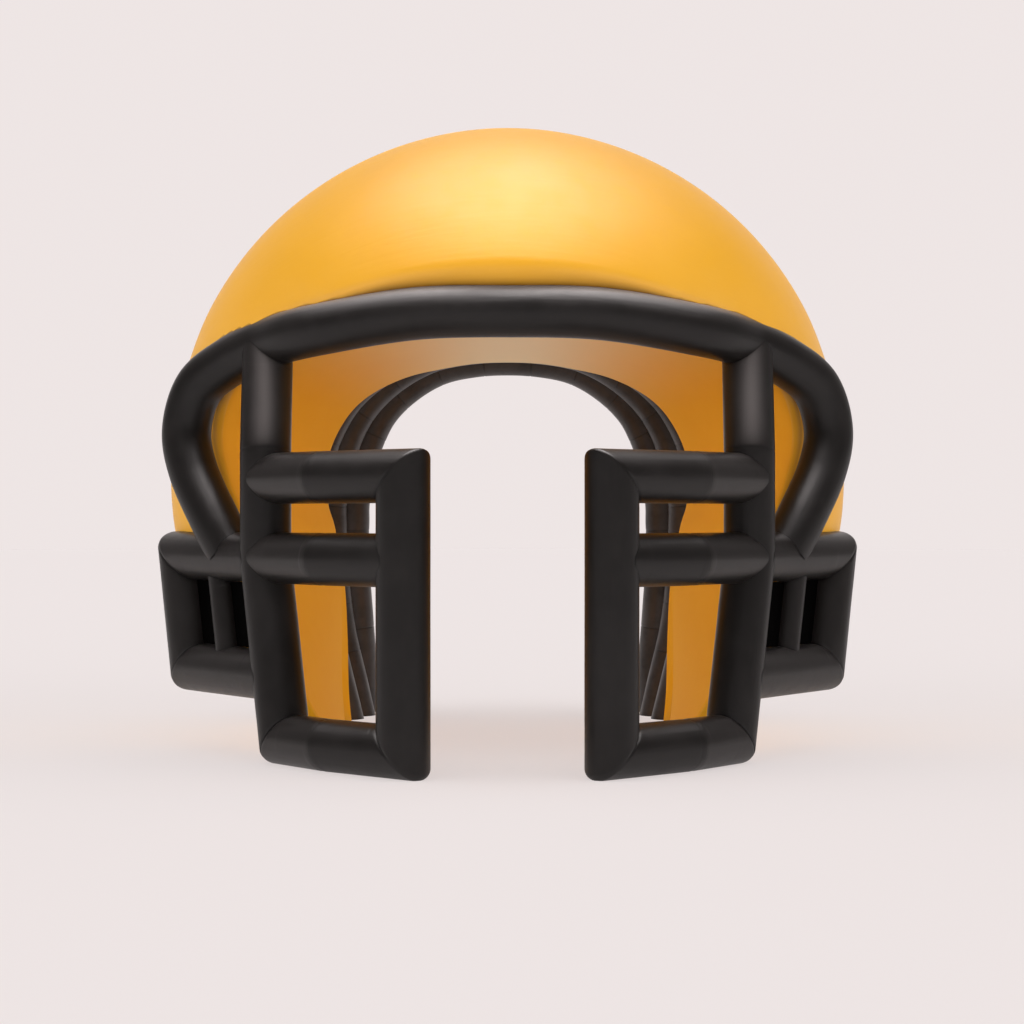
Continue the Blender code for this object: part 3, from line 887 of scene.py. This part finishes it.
def build_cross_tubes(mask, tag, cloths, sizes, seed):
    """Each cross tube's front length, from the inner post to the turn, and side length, on to the side post."""
    cloth = tube_cloth("black mask cloth", cloths)
    seat = sizes.tube_radius + GAP
    side_post = Saddle(side_post_route(mask).table[:, :3], seat)

    def add(name, first, last, face, ends, near, past, panel, own_seed):
        route = straight(first, last, face)
        tube = Tube(route, sizes.branch_radius, *ends, (near, route.full + past), TUBE_SIDES, sizes, own_seed)
        blown(name + tag, tube, cloth, panel)

    for k, (level, z) in enumerate((("upper", UPPER_Z), ("middle", MIDDLE_Z), ("bottom", BOTTOM_Z))):
        own_seed = seed + 20 * k
        inner, bend, post = mask.inner(z), mask.turn(z), mask.post(z)
        start, near = Saddle((mask.inner(0), mask.inner(UPPER_Z)), seat), STOP_SHORT
        end, past = side_post, -STOP_SHORT
        if level == "upper":
            start, near = Mitre(inner, bend, mask.inner(BOTTOM_Z), sizes.post_top), -PAST_JOINT
        if level == "bottom":
            start, near = Mitre(inner, bend, mask.inner(UPPER_Z), sizes.post_corner), -PAST_JOINT
            end, past = Mitre(post, bend, mask.post(MIDDLE_Z), sizes.foot_corner), PAST_JOINT
        # The front length gets no painted sheen, the side length the full share
        add(level + "_front_", inner, bend, mask.front_face, (start, Mitre(bend, inner, post)), near, PAST_TURN,
            0.0, own_seed)
        add(level + "_side_", bend, post, mask.side_face, (Mitre(bend, post, inner), end), -PAST_TURN, past,
            1.0, own_seed + 10)


def guard_tubes(mask, sizes, seed, grow=0.0, sides=TUBE_SIDES):
    """The side guard's three main tubes by name, swollen by grow."""
    top_start, low_start = mask.back(SIDE_POST_RUN, MIDDLE_Z), mask.post(GUARD_LOW_Z)
    top_end, low_end = (mask.guard(GUARD_OUTER_RUN, z) for z in (MIDDLE_Z, GUARD_LOW_Z))
    post = Saddle(side_post_route(mask).table[:, :3], sizes.tube_radius + GAP - grow)

    def corner(joint, own, other):
        return Mitre(joint, own, other, sizes.guard_corner, grow)

    plan = (
        ("guard_top", top_start, top_end, post, corner(top_end, top_start, low_end)),
        ("guard_outer", top_end, low_end, corner(top_end, low_end, top_start), corner(low_end, top_end, low_start)),
        ("guard_low", low_start, low_end, post, corner(low_end, low_start, top_end)),
    )
    made = {}
    for k, (name, first, last, start, end) in enumerate(plan):
        route = straight(first, last, mask.side_face)
        limits = (STOP_SHORT if start is post else -PAST_JOINT, route.full + PAST_JOINT)
        made[name] = Tube(route, sizes.branch_radius + grow, start, end, limits, sides, sizes, seed + 10 * k)
    return made


def build_guard(mask, tag, cloths, sizes, seed):
    cloth = tube_cloth("black guard cloth", cloths)
    for name, tube in guard_tubes(mask, sizes, seed).items():
        blown(name + "_" + tag, tube, cloth, GUARD_SHEEN)
    route = straight(mask.guard(BAR_RUN, MIDDLE_Z), mask.guard(BAR_RUN, GUARD_LOW_Z), mask.side_face)
    seat = sizes.branch_radius + GAP
    ends = [Saddle((first, mask.guard(GUARD_OUTER_RUN, z)), seat)
            for first, z in ((mask.guard(0, MIDDLE_Z), MIDDLE_Z), (mask.post(GUARD_LOW_Z), GUARD_LOW_Z))]
    limits = (STOP_SHORT, route.full - STOP_SHORT)
    tube = Tube(route, sizes.bar_radius, *ends, limits, BAR_SIDES, sizes, seed + 30)
    blown("guard_bar_" + tag, tube, cloth, BAR_SHEEN)


def sheet_faces(rows, cols):
    """Faces of a thin sheet with a front and a back grid of corners: both sides, then the border."""
    width = cols + 1
    back = (rows + 1) * width
    faces = []
    for r in range(rows):
        for c in range(cols):
            k = r * width + c
            faces.append((k, k + 1, k + width + 1, k + width))
            faces.append((back + k, back + k + width, back + k + width + 1, back + k + 1))
    border = list(range(cols)) + [r * width + cols for r in range(rows)]
    border += [rows * width + c for c in range(cols, 0, -1)] + [r * width for r in range(rows, 0, -1)]
    return faces + [(k, n, back + n, back + k) for k, n in zip(border, border[1:] + border[:1])]


def infill_cloth(cloths):
    # Near-black, almost unreflecting finish: painted shade in the guard windows
    colour = with_alpha(cloths.infill)
    return bpy.data.materials.get("black infill cloth") or coated_cloth(
        "black infill cloth", colour, colour, colour, colour, 0.8, FLAT_CREASE, weave_depth=INFILL_WEAVE_DEPTH,
        mirror=0.03)


def build_infill(mask, name, near_edge, far_edge, cloths, sizes, seed):
    """A flat cloth panel of a guard window, slightly slack, whose near-black finish paints the deep shade of the
    window. Each edge gives a run for a height.
    """
    top = MIDDLE_Z - sizes.branch_radius - INFILL_CLEAR
    low = GUARD_LOW_Z + sizes.branch_radius + INFILL_CLEAR
    rows, cols = INFILL_ROWS, INFILL_COLS
    front = []
    for r in range(rows + 1):
        z = low + (top - low) * r / rows
        near, far = near_edge(z), far_edge(z)
        front.append([mask.back(near + (far - near) * c / cols, z) for c in range(cols + 1)])
    front = np.array(front)
    down, over = np.meshgrid(np.linspace(0, 1, rows + 1), np.linspace(0, 1, cols + 1), indexing="ij")
    rim = np.minimum(1, 12 * np.minimum(np.minimum(down, 1 - down), np.minimum(over, 1 - over)))
    rng = np.random.default_rng(seed)
    slack = np.zeros_like(down)
    for _ in range(5):
        pull, lean, phase = rng.uniform(3, 9), rng.uniform(-6, 6), rng.uniform(0, 6)
        slack += np.sin(2 * math.pi * (pull * over + lean * down) / 2 + phase)
    bow = 0.0030 * np.sin(math.pi * down) * np.sin(math.pi * over)
    offset = rim * (bow + 0.0004 * slack)
    sides = [offset + way * sizes.infill_thickness / 2 for way in (1, -1)]
    points = np.concatenate([(front + out[..., None] * mask.side_face).reshape(-1, 3) for out in sides])
    mesh = bpy.data.meshes.new(name + "_cloth")
    mesh.from_pydata(points.tolist(), [], sheet_faces(rows, cols))
    flat_width = np.linalg.norm(front[0, -1] - front[0, 0])
    flat_height = np.linalg.norm(front[-1, 0] - front[0, 0])
    loops = np.array([loop.vertex_index for loop in mesh.loops]) % down.size
    uv = np.stack((over.ravel()[loops] * flat_width, down.ravel()[loops] * flat_height), axis=1)
    mesh.uv_layers.new(name="cloth").data.foreach_set("uv", uv.ravel())
    # The seam values would darken the edges towards the shade colour, which here is the infill's own colour
    fill_attribute(mesh, "seam", np.tile((0.6 * (1 - rim)).ravel(), 2))
    fill_attribute(mesh, "panel", np.zeros(len(points)))
    item = place(name + "_cloth", mesh, infill_cloth(cloths), (name,))


def build_infills(mask, tag, cloths, sizes, seed):
    def beside(run, lean, radius):
        spread = (radius + INFILL_CLEAR) * math.hypot(1, lean)
        return lambda z: run - lean * (MIDDLE_Z - z) + spread

    post_edge = beside(SIDE_POST_RUN, SIDE_POST_LEAN, sizes.tube_radius)
    bar_near = beside(BAR_RUN, GUARD_LEAN, -sizes.bar_radius - 2 * INFILL_CLEAR)
    bar_far = beside(BAR_RUN, GUARD_LEAN, sizes.bar_radius)
    outer_edge = beside(GUARD_OUTER_RUN, GUARD_LEAN, -sizes.branch_radius - 2 * INFILL_CLEAR)
    build_infill(mask, "infill_front_" + tag, post_edge, bar_near, cloths, sizes, seed)
    build_infill(mask, "infill_back_" + tag, bar_far, outer_edge, cloths, sizes, seed + 1)


def guard_top_line(mask):
    return (mask.back(0, MIDDLE_Z), mask.guard(GUARD_OUTER_RUN + 0.3, MIDDLE_Z))


def brow_tube(sizes, grow=0.0, sides=TUBE_SIDES, seed=500):
    route = Route(brow_line(BROW_STEPS), np.array((0, 0, 1.0)), 0.05)
    ends = [Saddle(guard_top_line(Mask(side)), sizes.branch_radius + GAP - grow) for side in (-1, 1)]
    return Tube(route, sizes.tube_radius + grow, *ends, (0, route.full), sides, sizes, seed)


def build_brow(cloths, sizes):
    """The brow tube, with a painted highlight on its upper side over the front opening."""
    tube = brow_tube(sizes)
    item = blown("brow_tube", tube, tube_cloth("black brow cloth", cloths))
    upward = (tube.points - tube.route.point(tube.places, 0, 0))[..., 2] / sizes.tube_radius
    front = eased(tube.points[..., 2], 2.15, 2.60)
    fill_attribute(item.data, "pale", with_caps(front * eased(upward, 0.60, 1.0)))


def whole_arch(rows, steps):
    """Rows from the right foot over the top to the left foot, which mirrors the right."""
    right = [np.array(row, dtype=float) for row in rows]
    left = [np.array((180 - row[0], *row[1:])) for row in right[1:]]
    return smooth_rows(right[::-1] + left, steps)


def across(angle):
    return np.array((math.cos(math.radians(angle)), 0, math.sin(math.radians(angle))))


def wall_line(angle, front, front_y, waist, rear, steps):
    """The middle of the wall from the front rim to the rear rim, at one angle."""
    points = []
    for k in range(-steps, steps + 1):
        rim, rim_y = (front, front_y) if k < 0 else (rear, REAR_RIM_Y)
        full = math.acos(min(1, rim / waist)) if rim < waist else 0
        turn = abs(k) / steps
        ratio = math.sin(full * turn) / math.sin(full) if full > 0 else turn
        reach = waist * math.cos(full * turn) if full > 0 else waist + (rim - waist) * turn ** 2
        points.append(across(angle) * reach + (0, WAIST_Y + (rim_y - WAIST_Y) * ratio, SHELL_AXIS_Z))
    return np.array(points)


def rim_points(centre, half, outer_way, rim_way, inner_way):
    """Points round a rim, from the outer skin to the liner by way of rim_way."""
    turn = math.atan2(inner_way @ rim_way, inner_way @ outer_way) % (2 * math.pi)
    angles = [turn * k / LIP_STEPS for k in range(1, LIP_STEPS)]
    return [centre + half * (outer_way * math.cos(a) + rim_way * math.sin(a)) for a in angles]


def shell_ring(angle, half, line, normals, ways):
    """The section of the blown dome at one angle: outer skin, rear rim, straight liner and front rim."""
    front, rear = line[0], line[-1]
    chord = unit(rear - front)
    inner_way = unit(chord * (across(angle) @ chord) - across(angle))
    ring = list(line + half * normals)
    ring += rim_points(rear, half, normals[-1], unit(ways[-1]), inner_way)
    liner = [rear + (front - rear) * k / LINER_STEPS for k in range(LINER_STEPS + 1)]
    ring += [point + half * inner_way for point in liner]
    ring += reversed(rim_points(front, half, normals[0], -unit(ways[0]), inner_way))
    return ring


def shell_mesh(sizes):
    """The blown dome, closed at both rims."""
    rows = whole_arch(SHELL_ROWS, SHELL_ARCH_STEPS)
    middle = np.array([wall_line(*row, SHELL_WALL_STEPS) for row in rows])
    around, back = np.gradient(middle, axis=0), np.gradient(middle, axis=1)
    outward = np.cross(back, around)
    outward /= np.linalg.norm(outward, axis=2)[:, :, None]
    crown = (len(middle) // 2, SHELL_WALL_STEPS)
    if outward[crown] @ (middle[crown] - (0, WAIST_Y, SHELL_AXIS_Z)) < 0:
        outward = -outward
    half = sizes.shell_wall / 2
    grid = np.array([shell_ring(row[0], half, *line) for row, *line in zip(rows, middle, outward, back)])
    rows, sides = grid.shape[:2]
    faces = [tuple(face) for face in wall_faces(rows, sides)]
    faces += [tuple(range(sides)), tuple(range((rows - 1) * sides, rows * sides))]
    mesh = bpy.data.meshes.new("dome_skin")
    mesh.from_pydata(grid.reshape(-1, 3).tolist(), [], faces)
    steps_along = np.linalg.norm(np.diff(grid, axis=0), axis=2)
    steps_over = np.linalg.norm(np.roll(grid, -1, axis=1) - grid, axis=2)
    along = np.concatenate((np.zeros((1, sides)), np.cumsum(steps_along, axis=0)))
    map_cloth(mesh, np.concatenate((np.zeros((rows, 1)), np.cumsum(steps_over, axis=1)), axis=1), along)
    return mesh


def cut_at_floor(solid):
    geometry = solid.verts[:] + solid.edges[:] + solid.faces[:]
    cut = bmesh.ops.bisect_plane(
        solid, geom=geometry, dist=1e-6, plane_co=(0, 0, 0), plane_no=(0, 0, -1), clear_outer=True)
    edges = [item for item in cut["geom_cut"] if isinstance(item, bmesh.types.BMEdge)]
    bmesh.ops.holes_fill(solid, edges=edges, sides=0)


def hollowed(mesh, cutters):
    """The mesh with the cutters' space taken out."""
    item = bpy.data.objects.new("dome_work", mesh)
    bpy.context.scene.collection.objects.link(item)
    group = bpy.data.collections.new("seats")
    bpy.context.scene.collection.children.link(group)
    tools = []
    for k, cutter in enumerate(cutters):
        reworked(cutter)
        tool = bpy.data.objects.new("seat_%d" % k, cutter)
        group.objects.link(tool)
        tools.append(tool)
    modifier = item.modifiers.new("seats", "BOOLEAN")
    modifier.operation = "DIFFERENCE"
    modifier.solver = "EXACT"
    modifier.operand_type = "COLLECTION"
    modifier.collection = group
    bpy.context.view_layer.update()
    found = item.evaluated_get(bpy.context.evaluated_depsgraph_get())
    out = bpy.data.meshes.new_from_object(found)
    for thing in tools + [item]:
        bpy.data.objects.remove(thing)
    bpy.data.collections.remove(group)
    return out


def eased(values, start, end):
    """A smooth change from 0 to 1 as values go from start to end."""
    t = np.clip((values - start) / (end - start), 0, 1)
    return t * t * (3 - 2 * t)


def liner_shares(mesh, points):
    """For each point of the dome, how far it faces out, 1 on the liner, and how high up its arch it lies."""
    normals = np.zeros(points.size)
    mesh.vertices.foreach_get("normal", normals)
    normals = normals.reshape(-1, 3)
    out = points * (1, 0, 1) - (0, 0, SHELL_AXIS_Z)
    facing = (normals * out).sum(axis=1) / np.linalg.norm(out, axis=1)
    inside = eased(-facing, *LINER_FACING) * eased(-np.abs(normals[:, 1]), *LINER_ALONG)
    return facing, inside, eased(np.degrees(np.arctan2(out[:, 2], np.abs(out[:, 0]))), *LINER_ANGLES)


def build_shell(cloths, sizes):
    """The dome, cut at the floor and hollowed where the brow tube and the guards press into it."""
    mesh = shell_mesh(sizes)
    reworked(mesh, cut_at_floor)
    cutters = [skin("seat_brow", brow_tube(sizes, GAP, SEAT_SIDES))]
    near = [Saddle(brow_line(BROW_SEAT_STEPS), sizes.tube_radius)]
    for k, (tag, side) in enumerate(SIDES):
        mask = Mask(side)
        swollen = guard_tubes(mask, sizes, 900 + 100 * k, GAP, SEAT_SIDES)
        cutters += [skin("seat_top_" + tag, swollen["guard_top"]), skin("seat_outer_" + tag, swollen["guard_outer"])]
        near.append(Saddle(guard_top_line(mask), sizes.branch_radius))
    mesh = hollowed(mesh, cutters)
    points = np.zeros(len(mesh.vertices) * 3)
    mesh.vertices.foreach_get("co", points)
    points = points.reshape(-1, 3)
    closest = np.min([end.room(points) for end in near], axis=0)
    for name in ("seam", "panel"):
        if name in mesh.attributes:
            mesh.attributes.remove(mesh.attributes[name])
    facing, inside, high = liner_shares(mesh, points)
    # Painted shade: inward faces of the dome turn darker near the brow and guard tubes, where shade falls
    seam = eased(-facing, -0.25, 0.05) * np.exp(-np.maximum(0, closest) / 0.04)
    # inside and high place the liner's painted glow and painted reflection
    for name, values in (("seam", seam), ("panel", 0 * seam), ("inside", inside), ("high", high)):
        fill_attribute(mesh, name, values)
    faded = with_alpha(cloths.dome_faded)
    material = coated_cloth("yellow dome cloth", with_alpha(cloths.dome), faded, DOME_PAINTED_SHADE, faded,
                            cloths.dome_gloss, FLAT_CREASE, scale=0.9)
    paint_liner_light(material, cloths)
    item = place("shell_blown", mesh, material, ("shell",), 35)


def nested(line, before, pitch):
    """Moves a hoop's flat centre line back until it touches the line before it."""
    out = []
    starts = before[:-1]
    ways = before[1:] - starts
    for point in line:
        flat = (point - starts)[:, (0, 2)]
        shares = (flat * ways[:, (0, 2)]).sum(axis=1) / (ways[:, (0, 2)] ** 2).sum(axis=1)
        nearest = starts + ways * np.clip(shares, 0, 1)[:, None]
        gaps = np.linalg.norm((point - nearest)[:, (0, 2)], axis=1)
        backs = nearest[:, 1] + np.sqrt(np.maximum(0, pitch ** 2 - gaps ** 2))
        out.append((point[0], backs.max(), point[2]))
    return np.array(out)


def build_hoops(cloths, sizes):
    """The rear hoops, each nested behind the one before it, with weld rings from the top down."""
    rows = whole_arch(HOOP_ROWS, HOOP_ARCH_STEPS)
    line = np.array([wall_line(*row, 2)[-1] for row in whole_arch(SHELL_ROWS, HOOP_ARCH_STEPS)])
    # The hoop cloth is a lighter copy of the tube cloth: painted light from behind
    cloth = tube_cloth("black hoop cloth", cloths, cloths.hoops)
    floor = FlatEnd((0, 0, 0), (0, 0, -1))
    for k, name in enumerate(HOOP_NAMES, start=1):
        flat = np.array([across(row[0]) * row[k] + (0, 0, SHELL_AXIS_Z) for row in rows])
        line = nested(flat, line, 2 * sizes.hoop_radius + 2 * GAP)
        route = Route(line, np.array((0, 1.0, 0)), 0.05)
        count = int(route.full / sizes.ring_spacing)
        rings = [route.full / 2 + sizes.ring_spacing * (n + 0.5) for n in range(-count // 2, count // 2)]
        rings = [ring for ring in rings if RING_FREE_FOOT < ring < route.full - RING_FREE_FOOT]
        tube = Tube(route, sizes.hoop_radius, floor, floor, (0, route.full), HOOP_SIDES, sizes, 700 + 10 * k, rings)
        blown(name, tube, cloth, HOOP_SHEEN)


# Stage

def ramp(tree, value, start, end, low, high):
    """A smooth change from low to high as value goes from start to end."""
    inputs = {"Value": value, "From Min": start, "From Max": end, "To Min": low, "To Max": high}
    return node(tree, "ShaderNodeMapRange", inputs, interpolation_type="SMOOTHSTEP").outputs["Result"]


def mix_value(tree, factor, first, second):
    return node(tree, "ShaderNodeMix", {0: factor, 2: first, 3: second}).outputs[0]


def build_world(stage):
    """A plain backdrop for the camera. Cloth mirrors a room that is dim in front, bright behind and lit above."""
    world = bpy.data.worlds.new("pale studio")
    world.use_nodes = True
    world.cycles.sampling_method = "NONE"
    tree = world.node_tree
    ground = tree.nodes["Background"]
    ground.inputs["Color"].default_value = with_alpha(stage.backdrop)
    rays = node(tree, "ShaderNodeLightPath")
    way = node(tree, "ShaderNodeSeparateXYZ", {0: node(tree, "ShaderNodeTexCoord").outputs["Generated"]}).outputs
    walls = ramp(tree, way["Y"], -0.6, 0.6, stage.front_glow, stage.rear_glow)
    aside = ramp(tree, math_node(tree, "ABSOLUTE", way["X"]), 0.2, 0.9, 1, 1 + stage.side_glow)
    above = ramp(tree, way["Z"], 0.1, 0.7, 1, stage.top_share)
    glow = math_node(tree, "MULTIPLY", math_node(tree, "MULTIPLY", walls, aside), above)
    depth = ramp(tree, way["Y"], *REAR_FADE, stage.front_mirror, stage.rear_mirror)
    height = math_node(tree, "SUBTRACT", way["Z"], TOP_FADE_FROM)
    height = math_node(tree, "DIVIDE", height, 1 - TOP_FADE_FROM, clamp=True)
    ceiling = math_node(tree, "MULTIPLY", math_node(tree, "MULTIPLY", height, height), stage.top_mirror)
    mirrored = math_node(tree, "ADD", depth, ceiling)
    unseen = mix_value(tree, rays.outputs["Is Glossy Ray"], glow, mirrored)
    feed(tree, ground.inputs["Strength"], mix_value(tree, rays.outputs["Is Camera Ray"], unseen, 1))
    return world


def floor_material(stage):
    material = bpy.data.materials.new("pale floor")
    material.use_nodes = True
    material.cycles.emission_sampling = "NONE"
    tree = material.node_tree
    rays = node(tree, "ShaderNodeLightPath")
    glow = node(tree, "ShaderNodeMapRange", {"Value": rays.outputs["Is Glossy Ray"], "To Min": stage.floor_glow,
                                             "To Max": stage.floor_glow * stage.floor_mirror})
    finish = {"Base Color": with_alpha(stage.floor), "Roughness": 1, "Specular IOR Level": 0,
              "Emission Color": with_alpha(stage.backdrop), "Emission Strength": glow.outputs["Result"]}
    for name, value in finish.items():
        feed(tree, tree.nodes["Principled BSDF"].inputs[name], value)
    return material


def build_floor(stage):
    solid = bmesh.new()
    bmesh.ops.create_circle(solid, cap_ends=True, segments=96, radius=FLOOR_RADIUS)
    mesh = bpy.data.meshes.new("floor")
    solid.to_mesh(mesh)
    solid.free()
    mesh.materials.append(floor_material(stage))
    return bpy.data.objects.new("floor", mesh)


def build_light(stage):
    top = bpy.data.lights.new("top light", "SUN")
    top.energy = stage.top_light
    top.angle = stage.top_spread
    item = bpy.data.objects.new("top light", top)
    item.rotation_euler = (-stage.top_tilt, 0, 0)
    return item


def build_camera():
    data = bpy.data.cameras.new("camera")
    data.sensor_width = 36
    data.lens = CAMERA_LENS
    data.shift_x, data.shift_y = (shift / FRAME_PIXELS for shift in CAMERA_SHIFT)
    data.clip_end = 300
    camera = bpy.data.objects.new("camera", data)
    camera.location = CAMERA_PLACE
    camera.rotation_euler = (math.radians(90), 0, 0)
    return camera


def build_stage(stage):
    scene = bpy.context.scene
    scene.world = build_world(stage)
    scene.view_settings.view_transform = "Standard"
    scene.view_settings.look = "None"
    floor, light, camera = build_floor(stage), build_light(stage), build_camera()
    for item in (floor, light, camera):
        scene.collection.objects.link(item)
    scene.camera = camera


# Operators

class Piece:
    """What the operators share."""

    bl_options = {"REGISTER", "UNDO"}

    def execute(self, context):
        self.build(context.scene.helmet_cloths, context.scene.helmet_sizes)
        return {"FINISHED"}


class HELMET_OT_dome(Piece, bpy.types.Operator):
    """Build the blown dome"""

    bl_idname = "helmet.dome"
    bl_label = "Dome"

    def build(self, cloths, sizes):
        build_shell(cloths, sizes)


class HELMET_OT_brow(Piece, bpy.types.Operator):
    """Build the brow tube round the front opening"""

    bl_idname = "helmet.brow"
    bl_label = "Brow tube"

    def build(self, cloths, sizes):
        build_brow(cloths, sizes)


class HELMET_OT_posts(Piece, bpy.types.Operator):
    """Build the inner and side posts of both mask halves"""

    bl_idname = "helmet.posts"
    bl_label = "Mask posts"

    def build(self, cloths, sizes):
        for k, (tag, side) in enumerate(SIDES):
            build_post(Mask(side), tag, cloths, sizes, 100 * k + 1)
            build_side_post(Mask(side), tag, cloths, sizes, 100 * k + 11)


class HELMET_OT_cross_tubes(Piece, bpy.types.Operator):
    """Build the upper, middle and bottom tubes of both mask halves"""

    bl_idname = "helmet.cross_tubes"
    bl_label = "Mask cross tubes"

    def build(self, cloths, sizes):
        for k, (tag, side) in enumerate(SIDES):
            build_cross_tubes(Mask(side), tag, cloths, sizes, 100 * k + 31)


class HELMET_OT_guards(Piece, bpy.types.Operator):
    """Build both side guards"""

    bl_idname = "helmet.guards"
    bl_label = "Side guards"

    def build(self, cloths, sizes):
        for k, (tag, side) in enumerate(SIDES):
            build_guard(Mask(side), tag, cloths, sizes, 300 + 50 * k)


class HELMET_OT_infills(Piece, bpy.types.Operator):
    """Build the flat cloth panels in the guard windows"""

    bl_idname = "helmet.infills"
    bl_label = "Guard infills"

    def build(self, cloths, sizes):
        for k, (tag, side) in enumerate(SIDES):
            build_infills(Mask(side), tag, cloths, sizes, 400 + 10 * k)


class HELMET_OT_hoops(Piece, bpy.types.Operator):
    """Build the rear hoops"""

    bl_idname = "helmet.hoops"
    bl_label = "Rear hoops"

    def build(self, cloths, sizes):
        build_hoops(cloths, sizes)


class HELMET_OT_stage(bpy.types.Operator):
    """Build the floor, the lights and the camera"""

    bl_idname = "helmet.stage"
    bl_label = "Stage"
    bl_options = {"REGISTER", "UNDO"}

    def execute(self, context):
        build_stage(context.scene.helmet_stage)
        return {"FINISHED"}


OPERATORS = (
    HELMET_OT_stage, HELMET_OT_dome, HELMET_OT_brow, HELMET_OT_posts, HELMET_OT_cross_tubes, HELMET_OT_guards,
    HELMET_OT_infills, HELMET_OT_hoops,
)


class HELMET_PT_panel(bpy.types.Panel):
    """Lists the pieces with their sizes and cloths"""

    bl_idname = "HELMET_PT_panel"
    bl_label = "Helmet tunnel"
    bl_space_type = "VIEW_3D"
    bl_region_type = "UI"
    bl_category = "Helmet tunnel"

    def draw(self, context):
        for kind in OPERATORS:
            self.layout.operator(kind.bl_idname)
        for settings in (context.scene.helmet_sizes, context.scene.helmet_cloths, context.scene.helmet_stage):
            box = self.layout.box()
            for name in settings.__annotations__:
                box.prop(settings, name)


CLASSES = (HelmetSizes, HelmetCloths, HelmetStage) + OPERATORS + (HELMET_PT_panel,)


def register():
    for kind in CLASSES:
        bpy.utils.register_class(kind)
    bpy.types.Scene.helmet_sizes = PointerProperty(type=HelmetSizes)
    bpy.types.Scene.helmet_cloths = PointerProperty(type=HelmetCloths)
    bpy.types.Scene.helmet_stage = PointerProperty(type=HelmetStage)


def unregister():
    del bpy.types.Scene.helmet_stage
    del bpy.types.Scene.helmet_cloths
    del bpy.types.Scene.helmet_sizes
    for kind in reversed(CLASSES):
        bpy.utils.unregister_class(kind)


def main():
    register()
    for kind in OPERATORS:
        group, name = kind.bl_idname.split(".")
        getattr(getattr(bpy.ops, group), name)()


if __name__ == "__main__":
    main()
